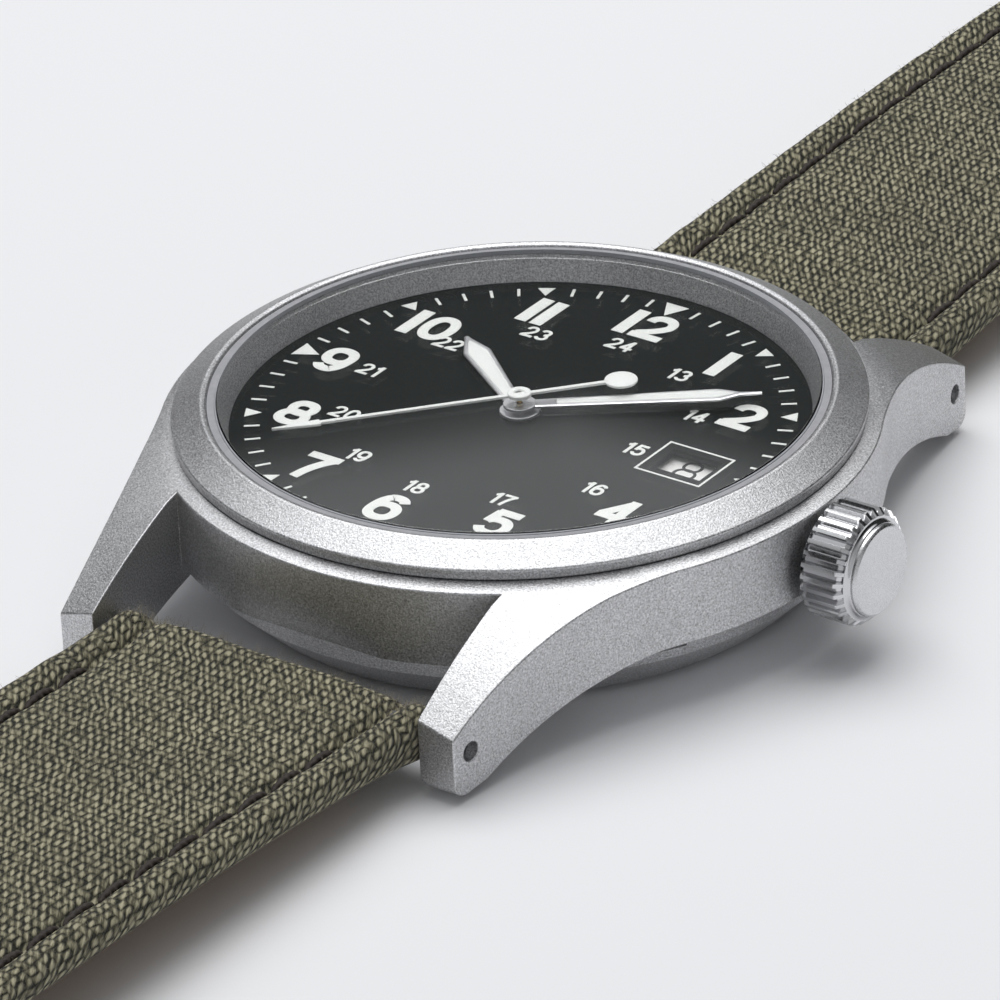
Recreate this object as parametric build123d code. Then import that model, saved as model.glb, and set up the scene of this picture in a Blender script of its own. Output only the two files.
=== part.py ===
from build123d import *
import math
import os

# Field watch with a hand-wound movement and a two-piece canvas strap, in millimetres.
# +Z points out of the dial, +Y to the 12 and +X to the crown. The origin is the centre of the
# flat of the case back, on which the watch lies with both strap halves spread out.

# Clearances, the overrun of every cutter and the sides of small round bars
seam = 0.05
fit = 0.02
run = 0.05
wide_run = 0.1
pocket_gap = 0.3
barrel_gap = 0.6
overrun = 1.0
pin_sides = 8
drum_sides = 20
bar_end_steps = 3

# Driving sizes of the case
case_radius = 18.5
case_bottom_z = 3.6
case_edge_z = 7.8
shoulder_width = 0.83
shoulder_radius = case_radius - shoulder_width
shoulder_z = 8.05
bezel_wall = 0.67
neck_radius = shoulder_radius - seam - bezel_wall
neck_top_z = 8.75
neck_wall = 0.65
case_bore_radius = neck_radius - neck_wall
seam_angle = 45.0

# Lugs: plan, back line and sole line
strap_gap = 20.0
lug_reach = 4.24
lug_tip_y = case_radius + lug_reach
lug_tip_width = 2.13
lug_tip_x = strap_gap / 2 + lug_tip_width
lug_waist_width = 3.43
lug_waist_x = strap_gap / 2 + lug_waist_width
lug_waist_inset = 2.5
lug_waist_y = case_radius - lug_waist_inset
lug_flank_angle = 25.6
lug_back_tip_z = 3.55
lug_back_mid_inset = 1.5
lug_back_mid_y = case_radius - lug_back_mid_inset
lug_back_mid_z = 6.75
lug_back_root_inset = 8.5
lug_back_root_y = case_radius - lug_back_root_inset
lug_back_root_z = 8.85
lug_tilt_share = 0.28
lug_sole_tip_z = 0.95
lug_toe_inset = 0.84
lug_toe_y = lug_tip_y - lug_toe_inset
lug_toe_z = 0.4
lug_toe_corner = 0.24
lug_toe_corner_y = lug_tip_y - lug_toe_corner
lug_toe_corner_z = 0.6
lug_sole_inset = 2.24
lug_sole_y = lug_tip_y - lug_sole_inset
lug_sole_z = 0.62
lug_sole_mid_inset = 7.24
lug_sole_mid_y = lug_tip_y - lug_sole_mid_inset
lug_sole_mid_z = 2.57
bar_inset = 1.23
bar_y = lug_tip_y - bar_inset
bar_z = 2.62
bar_hole_radius = 0.5
bar_scoop_radius = 3.66
lug_tangent_share = 0.56

# Bezel, crystal, flange ring and dial
flange_radius = case_bore_radius - wide_run
flange_width = 1.0
view_radius = flange_radius - flange_width
crystal_seat_width = 0.26
crystal_radius = view_radius + crystal_seat_width
crystal_bevel_width = 0.31
crystal_flat_radius = crystal_radius - crystal_bevel_width
gasket_width = 0.42
bezel_lip_radius = crystal_radius + gasket_width
bezel_lip_z = 9.46
bezel_lip_width = 0.28
bezel_top_radius = bezel_lip_radius + bezel_lip_width
bezel_top_z = 9.56
bezel_flare = 0.08
bezel_radius = shoulder_radius + bezel_flare
bezel_edge_z = 8.67
bezel_seat_z = 8.6
bezel_skirt_z = 8.3
crystal_edge_z = 9.38
crystal_top_z = 9.5
gasket_top_z = 9.3
gasket_clearance = 0.02
dial_radius = flange_radius - wide_run
dial_bottom_z = 6.8
dial_thickness = 0.4
date_window_length = 3.0
date_window_width = 2.1
dial_foot_radius = 0.35
dial_foot_inset = 0.8
dial_foot_circle = view_radius - dial_foot_inset
dial_foot_length = 1.4
dial_foot_angle = 62.0

# Case back
back_flange_inset = 0.65
back_flange_radius = case_radius - back_flange_inset
back_edge_inset = 0.4
back_edge_radius = back_flange_radius - back_edge_inset
back_edge_z = 2.4
back_step_inset = 2.05
back_step_radius = back_edge_radius - back_step_inset
back_step_z = 0.35
back_step_width = 2.0
back_flat_radius = back_step_radius - back_step_width
back_thickness = 1.3
back_neck_radius = case_bore_radius - wide_run
back_neck_wall = 0.8
back_neck_bore_radius = back_neck_radius - back_neck_wall
back_neck_top_z = 3.9
back_gasket_inner = back_neck_radius + gasket_clearance
back_gasket_width = 0.73
back_gasket_outer = back_gasket_inner + back_gasket_width
back_gasket_height = 0.35
back_notch_width = 1.6
back_notch_depth = 0.5
back_notch_height = 0.6
back_notches = 3

# Winding parts on the stem line
stem_z = 5.1
crown_gap = 0.3
crown_inner_x = case_radius + crown_gap
crown_skirt_length = 2.4
crown_skirt_x = crown_inner_x + crown_skirt_length
crown_bevel_length = 0.35
crown_bevel_x = crown_skirt_x + crown_bevel_length
crown_face_height = 0.32
crown_face_x = crown_bevel_x + crown_face_height
crown_radius = 3.05
crown_flute_depth = 0.3
crown_flutes = 30
crown_land_share = 0.55
crown_chamfer = 0.3
crown_face_radius = 2.45
crown_step_radius = 2.6
crown_bore_radius = 1.75
crown_roof = 0.6
crown_bore_end_x = crown_skirt_x - crown_roof
tube_radius = 1.15
tube_bore_radius = 0.72
tube_inner_reach = 0.4
tube_inner_x = case_bore_radius - tube_inner_reach
tube_outer_reach = 1.2
tube_outer_x = crown_inner_x + tube_outer_reach
stem_radius = 0.6
stem_tip_radius = 0.35
stem_tip_x = 6.7
stem_square_x = 7.3
stem_square_width = 0.8
stem_round_x = 9.65
stem_groove_x = 11.75
stem_groove_width = 0.46
stem_groove_radius = 0.36
winding_pinion_x = 9.75
winding_pinion_length = 1.45
winding_pinion_pitch = 1.12
winding_pinion_teeth = 12
sliding_pinion_x = 8.1
sliding_pinion_length = 1.5
sliding_pinion_radius = 1.2
sliding_groove_radius = 0.85
sliding_groove_width = 0.5
pull_travel = 1.1
clutch_slot = 0.2
clutch_teeth = 4

# Movement: frame plates
holder_wall = 3.4
movement_radius = flange_radius - holder_wall
plate_bottom_z = 4.5
plate_top_z = 6.4
plate_rim_step = 0.45
plate_rim_radius = movement_radius - plate_rim_step
bridge_bottom_z = 2.75
bridge_thickness = 0.4
barrel_bridge_top_z = 3.95
post_radius = 0.9
post_inset = 1.5
post_circle = movement_radius - post_inset
barrel_post_angles = (113.0, 29.5)
near_post_circle = 6.35
near_post_angle = 140.0
train_post_circle = 9.0
train_post_angle = 203.7
escape_post_circle = 8.5
escape_post_angle = 255.0
cock_post_angle = 330.0
screw_head_radius = 0.65
screw_head_height = 0.25
screw_shank_radius = 0.35
screw_depth = 1.2
jewel_radius = 0.5
jewel_bore = 0.12
pivot_radius = 0.1
arbor_radius = 0.2

# Movement: going train
train_distance = 3.6
wheel_thickness = 0.12
barrel_angle = 60.0
barrel_rim_gap = 1.38
barrel_teeth = 60
barrel_tooth_room = 0.27
barrel_bottom_z = 4.05
barrel_height = 1.4
barrel_tooth_height = 0.3
barrel_wall = 0.25
barrel_arbor_radius = 1.3
barrel_post_radius = 0.6
spring_strip = 0.09
spring_turns = 5
spring_steps = 10
centre_pinion_teeth = 10
centre_pinion_z = 4.0
centre_pinion_height = 0.42
centre_wheel_teeth = 48
centre_wheel_z = 3.82
centre_arbor_radius = 0.27
centre_arbor_bore = 0.16
centre_arbor_top_z = 6.3
third_angle = 215.0
third_pinion_teeth = 6
third_wheel_teeth = 45
third_wheel_z = 3.6
fourth_pinion_teeth = 6
fourth_wheel_teeth = 54
fourth_wheel_z = 3.3
fourth_arbor_radius = 0.125
escape_angle = 275.0
escape_module = 0.117
escape_pinion_teeth = 6
escape_teeth = 20
escape_radius = 2.0
escape_tooth_height = 0.45
escape_wheel_z = 4.1
escape_arbor_radius = 0.15
wheel_rim_share = 0.8
wheel_hub_share = 0.24
wheel_spokes = 4
spoke_width = 0.3
escape_rake_share = 0.3
addendum_share = 0.8
dedendum_share = 1.15

# Movement: escapement and balance
balance_rim_gap = 0.5
balance_angle = 300.0
balance_radius = 4.3
balance_rim = 0.55
balance_z = 3.35
balance_height = 0.35
balance_arm_width = 0.6
balance_screws = 6
balance_screw_radius = 0.16
staff_top_z = 4.85
hub_radius = 0.5
roller_radius = 0.75
roller_z = 3.8
roller_height = 0.12
impulse_radius = 0.55
impulse_pin_radius = 0.12
fork_z = 4.1
fork_thickness = 0.16
fork_reach = 2.25
fork_width = 0.3
fork_notch_width = 0.36
pallet_stone_angle = 28.0
pallet_stone_length = 0.6
pallet_stone_width = 0.25
hairspring_z = 3.17
hairspring_height = 0.1
hairspring_strip = 0.06
hairspring_inner = 0.6
hairspring_outer = 2.3
hairspring_turns = 5
hairspring_steps = 8
pallet_bridge_z = 3.78
pallet_bridge_thickness = 0.2
pallet_post_distance = 2.2
pallet_post_radius = 0.5

# Movement: motion work, date and keyless work
motion_module = 0.12
cannon_teeth = 10
minute_wheel_teeth = 30
minute_pinion_teeth = 8
hour_wheel_teeth = 32
minute_wheel_angle = 160.0
motion_floor_z = 5.75
motion_radius = 4.7
cannon_radius = 0.45
hour_pipe_radius = 0.75
minute_wheel_z = 5.85
minute_bore_radius = 0.25
cannon_face = 0.2
hour_wheel_z = 6.3
hour_wheel_thickness = 0.2
date_disc_z = 6.42
date_disc_thickness = 0.15
date_disc_inset = 0.7
date_disc_outer = movement_radius - date_disc_inset
date_disc_width = 3.6
date_disc_inner = date_disc_outer - date_disc_width
date_window_inset = 1.85
date_window_x = date_disc_outer - date_window_inset
date_teeth = 31
date_tooth_height = 0.5
ratchet_teeth = 36
crown_wheel_teeth = 24
crown_wheel_x = 8.2
ratchet_thickness = 0.28
crown_wheel_height = 1.0
crown_wheel_rim = 0.45
click_bearing = 80.0
click_turn = 70.0
click_length = 1.9
click_width = 0.6
click_pivot_radius = 0.35
lever_pivot_y = -2.2
lever_z = 5.85
lever_thickness = 0.2
lever_width = 0.8
lever_pin_radius = 0.16
yoke_pivot_x = 8.0
yoke_pivot_y = -3.5
yoke_z = 5.0
yoke_thickness = 0.25
yoke_width = 0.6
yoke_tip_width = 0.4
keyless_floor_z = 4.9
keyless_x = 7.2
keyless_low_y = -4.4
keyless_high_y = 1.6
keyless_end_x = stem_groove_x + pull_travel + lever_width / 2 + wide_run
clamp_length = 3.2
clamp_width = 1.8
clamp_thickness = 0.25
clamp_angle = 190.0

# Hands, in the position that they rest in
hour_hand_angle = 305.9
minute_hand_angle = 53.1
second_hand_angle = 221.9
hour_hand_z = 7.38
minute_hand_z = 7.75
second_hand_z = 8.32
hand_thickness = 0.13
hub_height = 0.1
hour_hub_radius = 1.05
hour_hand_length = 8.77
hour_hand_shoulder = 7.25
hour_hand_width = 1.46
hour_hand_neck = 0.95
minute_hub_radius = 0.85
minute_hand_length = 12.3
minute_hand_point = 10.9
minute_hand_shoulder = 10.2
minute_hand_width = 1.2
minute_hand_neck = 0.9
minute_hand_tip = 0.22
second_hub_radius = 0.62
second_hand_length = 12.78
second_hand_blade = 10.3
second_hand_blade_width = 0.55
second_hand_width = 0.28
second_hand_tip = 0.12
second_tail = 5.3
second_disc_radius = 0.85

# Spring bars and strap
bar_radius = 0.75
bar_flange_inset = 0.4
bar_flange_x = strap_gap / 2 - bar_flange_inset
bar_spring_room = 1.7
bar_half_length = bar_flange_x - bar_spring_room
bar_wall = 0.25
bar_shank_length = 1.6
bar_shank_x = bar_half_length - bar_shank_length
bar_flange_width = 0.25
bar_flange_radius = 0.7
bar_pivot_radius = 0.42
bar_pivot_length = 2.0
bar_pivot_x = bar_flange_x + bar_pivot_length
strap_play = 0.05
strap_side_play = 0.25
strap_width = strap_gap - 2 * strap_side_play
strap_taper = 1.5
strap_end_width = strap_width - strap_taper
strap_thickness = 1.6
strap_loop_radius = 1.4
canvas_thickness = 0.5
edge_fold = 0.7
layer_gap = 0.01
rise_run = 38.0
crest_z = 4.3
strap_long_length = 118.0
strap_short_length = 75.0
landing_run = 78.0
long_tip_arc = 7.0
long_holes = 8
long_hole_pitch = 6.5
long_hole_radius = 0.95
long_hole_start = 20.0
short_straight_run = 45.4
short_straight_z = 4.15
buckle_bar_z = 1.5
# Shares of the rise run, of the rise from bar to crest, and of the extra thickness at the loop
rise_run_shares = (0.09, 0.22, 0.36, 0.57, 0.8, 1.0)
rise_shares = (0.2, 0.43, 0.61, 0.85, 0.97, 1.0)
extra_thickness_shares = (0.42, 0.17, 0.05, 0.0, 0.0, 0.0)
# Shares of the way from crest to landing and of the drop still to go
fall_run_shares = (0.12, 0.25, 0.37, 0.5, 0.63, 0.75, 0.88, 1.0)
fall_shares = (0.98, 0.9, 0.75, 0.55, 0.33, 0.15, 0.04, 0.0)

# Pin buckle and keepers
buckle_arm_width = 1.8
buckle_side_play = 0.4
buckle_height = 1.9
buckle_reach = 8.6
buckle_cross = 1.9
buckle_corner = 2.2
buckle_heel = 1.3
buckle_neck = 4.0
buckle_pin_radius = 0.7
tongue_hub_radius = 1.3
tongue_width = 1.7
tongue_thickness = 0.9
tongue_slit = 2.6
tongue_slit_length = 6.5
keeper_length = 5.0
keeper_wall = 0.9
keeper_side_play = 0.45
keeper_inner_width = strap_end_width + 2 * keeper_side_play
keeper_inner_height = 3.5
fixed_keeper_distance = 9.5
free_keeper_distance = 20.0
keeper_play = 0.1


def deg(angle):
    """Angle in degrees as radians."""
    return math.radians(angle)


def polar(radius, angle, x=0, y=0):
    """Point at a radius and an angle from a centre."""
    return (x + radius * math.cos(deg(angle)), y + radius * math.sin(deg(angle)))


def bearing(a, b):
    """Angle of the way from one plan point to another."""
    return math.degrees(math.atan2(b[1] - a[1], b[0] - a[0]))


def turned(points):
    """Solid of revolution about the dial axis from points (radius, z)."""
    outline = Polyline(*[(r, 0, z) for r, z in points], close=True)
    return Rot(0, 0, seam_angle) * revolve(make_face(outline), Axis.Z)


def spun(points):
    """Solid of revolution about the stem line from points (x, radius)."""
    outline = Polyline(*[(x, 0, stem_z + r) for x, r in points], close=True)
    return revolve(make_face(outline), Axis((0, 0, stem_z), (1, 0, 0)))


def disc(radius, low, high, x=0, y=0):
    """Upright cylinder between two heights."""
    place = Pos(x, y, low) * Rot(0, 0, seam_angle)
    return place * Cylinder(radius, high - low, align=(Align.CENTER, Align.CENTER, Align.MIN))


def ring(outer, inner, low, high, x=0, y=0):
    """Upright tube between two heights."""
    return disc(outer, low, high, x, y) - disc(inner, low - overrun, high + overrun, x, y)


def rod(radius, start, end, y=0, z=stem_z):
    """Cylinder along X between two stations."""
    place = Pos(start, y, z) * Rot(0, 90, 0)
    return place * Cylinder(radius, end - start, align=(Align.CENTER, Align.CENTER, Align.MIN))


def slab(x0, x1, y0, y1, z0, z1):
    """Box between two corners."""
    return Pos(x0, y0, z0) * Box(x1 - x0, y1 - y0, z1 - z0, align=(Align.MIN, Align.MIN, Align.MIN))


def upright(points, low, high):
    """Prism over a closed polygon in plan."""
    face = make_face(Polyline(*[(x, y, low) for x, y in points], close=True))
    return extrude(face, amount=high - low, dir=(0, 0, 1))


def pin(radius, low, high, x=0, y=0, sides=pin_sides):
    """Small upright round bar with flats that stay inside its radius."""
    return upright([polar(radius, (2 * k + 1) * 180 / sides, x, y) for k in range(sides)], low, high)


def hole(radius, low, high, x=0, y=0, sides=pin_sides):
    """Cutter of a small round hole with flats that stay outside its radius."""
    return pin(radius / math.cos(deg(180 / sides)), low, high, x, y, sides)


def pocket(radius, low, high, x=0, y=0):
    """Cutter of a large round pocket with flats that stay outside its radius."""
    return hole(radius, low, high, x, y, drum_sides)


def washer(outer, inner, low, high):
    """Large ring with flats that stay between two radii."""
    return pin(outer, low, high, 0, 0, drum_sides) - pocket(inner, low - overrun, high + overrun)


def axle(radius, start, end, y=0, z=stem_z):
    """Small round bar along X, with flats inside its radius."""
    return Pos(start, y, z) * Rot(0, 90, 0) * pin(radius, 0, end - start)


def cross_hole(radius, start, end, y=0, z=stem_z):
    """Cutter of a small round hole along X, with flats outside its radius."""
    return axle(radius / math.cos(deg(180 / pin_sides)), start, end, y, z)


def bar_between(a, b, width, low, high):
    """Flat bar with rounded ends between two plan points."""
    points = []
    for place, start in ((b, bearing(a, b) - 90), (a, bearing(a, b) + 90)):
        for k in range(bar_end_steps + 1):
            points.append(polar(width / 2, start + k * 180 / bar_end_steps, *place))
    return upright(points, low, high)


def toothed(teeth, pitch_radius, low, high, phase, x=0, y=0):
    """Toothed prism; a tooth is centred at the phase angle."""
    module = 2 * pitch_radius / teeth
    tip = pitch_radius + addendum_share * module
    root = pitch_radius - dedendum_share * module
    points = []
    for k in range(teeth):
        points.append(polar(tip, phase + k * 360 / teeth, x, y))
        points.append(polar(root, phase + (2 * k + 1) * 180 / teeth, x, y))
    return upright(points, low, high)


def meshed(phase_a, teeth_a, teeth_b, way):
    """Phase of wheel b, seen from wheel a along a bearing, so that teeth meet gaps."""
    along = ((way - phase_a) * teeth_a / 360) % 1
    return way + 180 - (1 / 2 - along) * 360 / teeth_b


def window(outer, inner, start, end, low, high, x, y):
    """Cutter of a window between two spokes."""
    outer_edge = math.degrees(math.asin(spoke_width / 2 / outer))
    inner_edge = math.degrees(math.asin(spoke_width / 2 / inner))
    points = [
        polar(outer, start + outer_edge, x, y),
        polar(outer, (start + end) / 2, x, y),
        polar(outer, end - outer_edge, x, y),
        polar(inner, end - inner_edge, x, y),
        polar(inner, start + inner_edge, x, y),
    ]
    return upright(points, low - overrun, high + overrun)


def wheel(teeth, pitch_radius, low, phase, x, y):
    """Train wheel with windows between its spokes."""
    high = low + wheel_thickness
    body = toothed(teeth, pitch_radius, low, high, phase, x, y)
    for k in range(wheel_spokes):
        body -= window(pitch_radius * wheel_rim_share, pitch_radius * wheel_hub_share,
                       k * 360 / wheel_spokes, (k + 1) * 360 / wheel_spokes, low, high, x, y)
    return body


# Places worked out from the sizes
third_x, third_y = polar(train_distance, third_angle)
escape_distance = escape_module * (fourth_wheel_teeth + escape_pinion_teeth) / 2
escape_x, escape_y = polar(escape_distance, escape_angle)
balance_distance = movement_radius - balance_rim_gap - balance_radius
balance_x, balance_y = polar(balance_distance, balance_angle)
fork_bearing = bearing((escape_x, escape_y), (balance_x, balance_y))
fork_gap = math.dist((escape_x, escape_y), (balance_x, balance_y))
pallet_x, pallet_y = polar(fork_gap - fork_reach - impulse_radius, fork_bearing, escape_x, escape_y)
barrel_pitch_share = barrel_teeth / (barrel_teeth + centre_pinion_teeth)
barrel_distance = (movement_radius - barrel_rim_gap) / (1 + barrel_pitch_share)
barrel_x, barrel_y = polar(barrel_distance, barrel_angle)
barrel_pitch = barrel_distance * barrel_pitch_share
barrel_drum_radius = barrel_pitch - barrel_tooth_room
centre_pinion_pitch = barrel_distance - barrel_pitch
centre_wheel_pitch = train_distance * centre_wheel_teeth / (centre_wheel_teeth + third_pinion_teeth)
third_pinion_pitch = train_distance - centre_wheel_pitch
third_wheel_pitch = train_distance * third_wheel_teeth / (third_wheel_teeth + fourth_pinion_teeth)
fourth_pinion_pitch = train_distance - third_wheel_pitch
fourth_wheel_pitch = escape_module * fourth_wheel_teeth / 2
escape_pinion_pitch = escape_module * escape_pinion_teeth / 2
motion_distance = motion_module * (cannon_teeth + minute_wheel_teeth) / 2
minute_x, minute_y = polar(motion_distance, minute_wheel_angle)
ratchet_distance = math.dist((barrel_x, barrel_y), (crown_wheel_x, 0))
ratchet_pitch = ratchet_distance * ratchet_teeth / (ratchet_teeth + crown_wheel_teeth)
crown_wheel_pitch = ratchet_distance - ratchet_pitch
ratchet_bearing = bearing((barrel_x, barrel_y), (crown_wheel_x, 0))
ratchet_module = 2 * ratchet_pitch / ratchet_teeth
ratchet_tip = ratchet_pitch + addendum_share * ratchet_module
crown_wheel_tip = crown_wheel_pitch + addendum_share * ratchet_module
click_nose = polar(ratchet_tip + run + click_width / 2, click_bearing, barrel_x, barrel_y)
click_ends = [click_nose, polar(click_length, click_bearing + click_turn, *click_nose)]
dial_top_z = dial_bottom_z + dial_thickness
bridge_top_z = bridge_bottom_z + bridge_thickness
barrel_top_z = barrel_bottom_z + barrel_height
pivot_top_z = plate_bottom_z + jewel_radius

# Phases of the toothed wheels, so that each pair meshes at rest
barrel_phase = 0
centre_pinion_phase = meshed(barrel_phase, barrel_teeth, centre_pinion_teeth, barrel_angle + 180)
centre_phase = 0
third_pinion_phase = meshed(centre_phase, centre_wheel_teeth, third_pinion_teeth, third_angle)
third_phase = 0
fourth_pinion_phase = meshed(third_phase, third_wheel_teeth, fourth_pinion_teeth, third_angle + 180)
fourth_phase = 0
escape_pinion_phase = meshed(fourth_phase, fourth_wheel_teeth, escape_pinion_teeth, escape_angle)
cannon_phase = 0
minute_phase = meshed(cannon_phase, cannon_teeth, minute_wheel_teeth, minute_wheel_angle)
minute_pinion_phase = 0
hour_phase = meshed(minute_pinion_phase, minute_pinion_teeth, hour_wheel_teeth, minute_wheel_angle + 180)
ratchet_phase = meshed(0, crown_wheel_teeth, ratchet_teeth, ratchet_bearing + 180)

# Places of the bridge posts
barrel_post_places = [
    polar(post_circle, barrel_post_angles[0]),
    polar(post_circle, barrel_post_angles[1]),
    polar(near_post_circle, near_post_angle),
]
train_post_places = [
    polar(train_post_circle, train_post_angle),
    polar(escape_post_circle, escape_post_angle),
]
cock_post = polar(post_circle, cock_post_angle)
cock_bearing = bearing((balance_x, balance_y), cock_post)
post_places = barrel_post_places + train_post_places + [cock_post]


def case_middle():
    """Ring with a conical shoulder, a neck for the bezel and four hollow-flanked lugs."""
    blank = disc(case_radius, case_bottom_z, shoulder_z)
    lugs = [lug().mirror(Plane.YZ), lug()]
    lugs += [piece.mirror(Plane.XZ) for piece in lugs]
    body = blank + lugs
    cone_drop = (shoulder_z - case_edge_z) / (case_radius - shoulder_radius)
    far = lug_tip_y + strap_gap
    body -= turned([
        (case_bore_radius, shoulder_z),
        (shoulder_radius, shoulder_z),
        (far, shoulder_z - cone_drop * (far - shoulder_radius)),
        (far, bezel_top_z),
        (case_bore_radius, bezel_top_z),
    ])
    body += disc(neck_radius, case_bottom_z + overrun, neck_top_z)
    body -= disc(back_flange_radius + wide_run, -overrun, case_bottom_z)
    body -= disc(case_bore_radius, -overrun, neck_top_z + overrun)
    body -= disc(back_gasket_outer + gasket_clearance, -overrun,
                 case_bottom_z - seam + back_gasket_height + gasket_clearance)
    for side in (-1, 1):
        y = side * bar_y
        body -= rod(bar_scoop_radius, -strap_gap / 2, strap_gap / 2, y, bar_z)
        body -= rod(bar_hole_radius, -lug_waist_x - overrun, lug_waist_x + overrun, y, bar_z)
    return body - cross_hole(tube_radius + fit, 0, case_radius + overrun)


def lug():
    """Lug at the positive corner: plan prism cut by a tilted back and an arched sole."""
    start = polar(case_radius, lug_flank_angle)
    inner = strap_gap / 2
    plan = Line((inner, start[1]), (inner, lug_tip_y)) + Line((inner, lug_tip_y), (lug_tip_x, lug_tip_y))
    plan += ThreePointArc((lug_tip_x, lug_tip_y), (lug_waist_x, lug_waist_y), start)
    plan += Line(start, (inner, start[1]))
    prism = extrude(make_face(plan), amount=bezel_top_z, dir=(0, 0, 1))
    root_y = start[1] - overrun
    tip = (0, lug_tip_y + overrun, lug_back_tip_z - overrun * lug_tangent_share)
    back = ThreePointArc(tip, (0, lug_back_mid_y, lug_back_mid_z), (0, lug_back_root_y, lug_back_root_z))
    back += Polyline(
        (0, lug_back_root_y, lug_back_root_z),
        (0, root_y, lug_back_root_z + overrun * lug_tilt_share),
        (0, root_y, -case_radius),
        (0, lug_tip_y + overrun, -case_radius),
        tip,
    )
    under_back = Pos(lug_tip_x - case_radius, 0, case_radius * lug_tilt_share) * extrude(
        make_face(back), amount=2 * case_radius, dir=(1, 0, -lug_tilt_share))
    sole = ThreePointArc(
        (0, lug_back_root_y, case_bottom_z),
        (0, lug_sole_mid_y, lug_sole_mid_z),
        (0, lug_sole_y, lug_sole_z),
    )
    sole += Line((0, lug_sole_y, lug_sole_z), (0, lug_toe_y, lug_toe_z))
    sole += ThreePointArc(
        (0, lug_toe_y, lug_toe_z),
        (0, lug_toe_corner_y, lug_toe_corner_z),
        (0, lug_tip_y, lug_sole_tip_z),
    )
    sole += Polyline(
        (0, lug_tip_y, lug_sole_tip_z),
        (0, lug_tip_y, bezel_top_z + overrun),
        (0, root_y, bezel_top_z + overrun),
        (0, root_y, case_bottom_z),
        (0, lug_back_root_y, case_bottom_z),
    )
    over_sole = extrude(make_face(sole), amount=case_radius, dir=(1, 0, 0))
    return prism & under_back & over_sole


def bezel():
    """Saddle ring: outer skirt over the case neck, inner seat under the crystal."""
    return turned([
        (neck_radius + seam, shoulder_z + seam),
        (shoulder_radius, shoulder_z + seam),
        (bezel_radius, bezel_edge_z),
        (bezel_top_radius, bezel_top_z),
        (bezel_lip_radius, bezel_lip_z),
        (bezel_lip_radius, bezel_seat_z),
        (view_radius, bezel_seat_z),
        (view_radius, bezel_skirt_z),
        (case_bore_radius - seam, bezel_skirt_z),
        (case_bore_radius - seam, neck_top_z + seam),
        (neck_radius + seam, neck_top_z + seam),
    ])


def crystal():
    """Flat disc with a polished chamfer."""
    return turned([
        (0, bezel_seat_z),
        (crystal_radius, bezel_seat_z),
        (crystal_radius, crystal_edge_z),
        (crystal_flat_radius, crystal_top_z),
        (0, crystal_top_z),
    ])


def dial_foot_places():
    """Two opposite places under the dial."""
    return [polar(dial_foot_circle, dial_foot_angle + side) for side in (0, 180)]


def dial():
    """Disc with centre hole, date window and two feet."""
    body = disc(dial_radius, dial_bottom_z, dial_top_z)
    for place in dial_foot_places():
        body += pin(dial_foot_radius, dial_bottom_z - dial_foot_length, dial_bottom_z, *place)
    body -= hole(hour_pipe_radius + wide_run, dial_bottom_z - overrun, dial_top_z + overrun)
    half_length = date_window_length / 2
    half_width = date_window_width / 2
    return body - slab(date_window_x - half_length, date_window_x + half_length, -half_width, half_width,
                       dial_bottom_z - overrun, dial_top_z + overrun)


def movement_ring():
    """Holder ring between movement and case, drilled for stem and dial feet."""
    body = washer(flange_radius, movement_radius + run, plate_bottom_z, dial_bottom_z)
    body -= cross_hole(tube_radius + run, tube_inner_x - run, flange_radius + overrun)
    body -= cross_hole(stem_radius + wide_run, 0, flange_radius)
    body -= keyless_pocket()
    for place in dial_foot_places():
        body -= hole(dial_foot_radius + run, dial_bottom_z - dial_foot_length - run,
                     dial_bottom_z + overrun, *place)
    return body


def case_back():
    """Plain back: flat, cone and flange with a snap neck and opener notches."""
    body = turned([
        (0, 0),
        (back_flat_radius, 0),
        (back_step_radius, back_step_z),
        (back_edge_radius, back_edge_z),
        (back_flange_radius, case_bottom_z - seam),
        (back_neck_radius, case_bottom_z - seam),
        (back_neck_radius, back_neck_top_z),
        (back_neck_bore_radius, back_neck_top_z),
        (back_neck_bore_radius, back_thickness),
        (0, back_thickness),
    ])
    notch_low = case_bottom_z - back_notch_height
    for k in range(back_notches):
        cutter = slab(back_flange_radius - back_notch_depth, back_flange_radius + overrun,
                      -back_notch_width / 2, back_notch_width / 2, notch_low, case_bottom_z)
        body -= Rot(0, 0, 90 + k * 360 / back_notches) * cutter
    return body


def crown():
    """Fluted crown with a chamfered rim, a polished step and a plain raised face."""
    root = crown_radius - crown_flute_depth
    points = []
    for k in range(crown_flutes):
        start = k * 360 / crown_flutes
        end = start + crown_land_share * 360 / crown_flutes
        points += [polar(crown_radius, start), polar(crown_radius, end)]
        points += [polar(root, end), polar(root, start + 360 / crown_flutes)]
    ridge = upright(points, 0, crown_skirt_x - crown_inner_x)
    flutes = Pos(crown_inner_x, 0, stem_z) * Rot(0, 90, 0) * ridge
    envelope = spun([
        (crown_inner_x, 0),
        (crown_inner_x, crown_radius + fit),
        (crown_skirt_x - crown_chamfer, crown_radius + fit),
        (crown_skirt_x, root),
        (crown_skirt_x, 0),
    ])
    face = spun([
        (crown_skirt_x - overrun, 0),
        (crown_skirt_x - overrun, crown_step_radius),
        (crown_skirt_x, crown_step_radius),
        (crown_bevel_x, crown_face_radius),
        (crown_face_x - seam, crown_face_radius),
        (crown_face_x, crown_face_radius - seam),
        (crown_face_x, 0),
    ])
    body = (flutes & envelope) + face
    body -= rod(crown_bore_radius, crown_inner_x - overrun, crown_bore_end_x)
    return body - cross_hole(stem_radius, crown_inner_x, crown_skirt_x)


def crown_tube():
    """Tube pressed in the case wall."""
    return rod(tube_radius, tube_inner_x, tube_outer_x) - cross_hole(tube_bore_radius, 0, crown_face_x)


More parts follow.
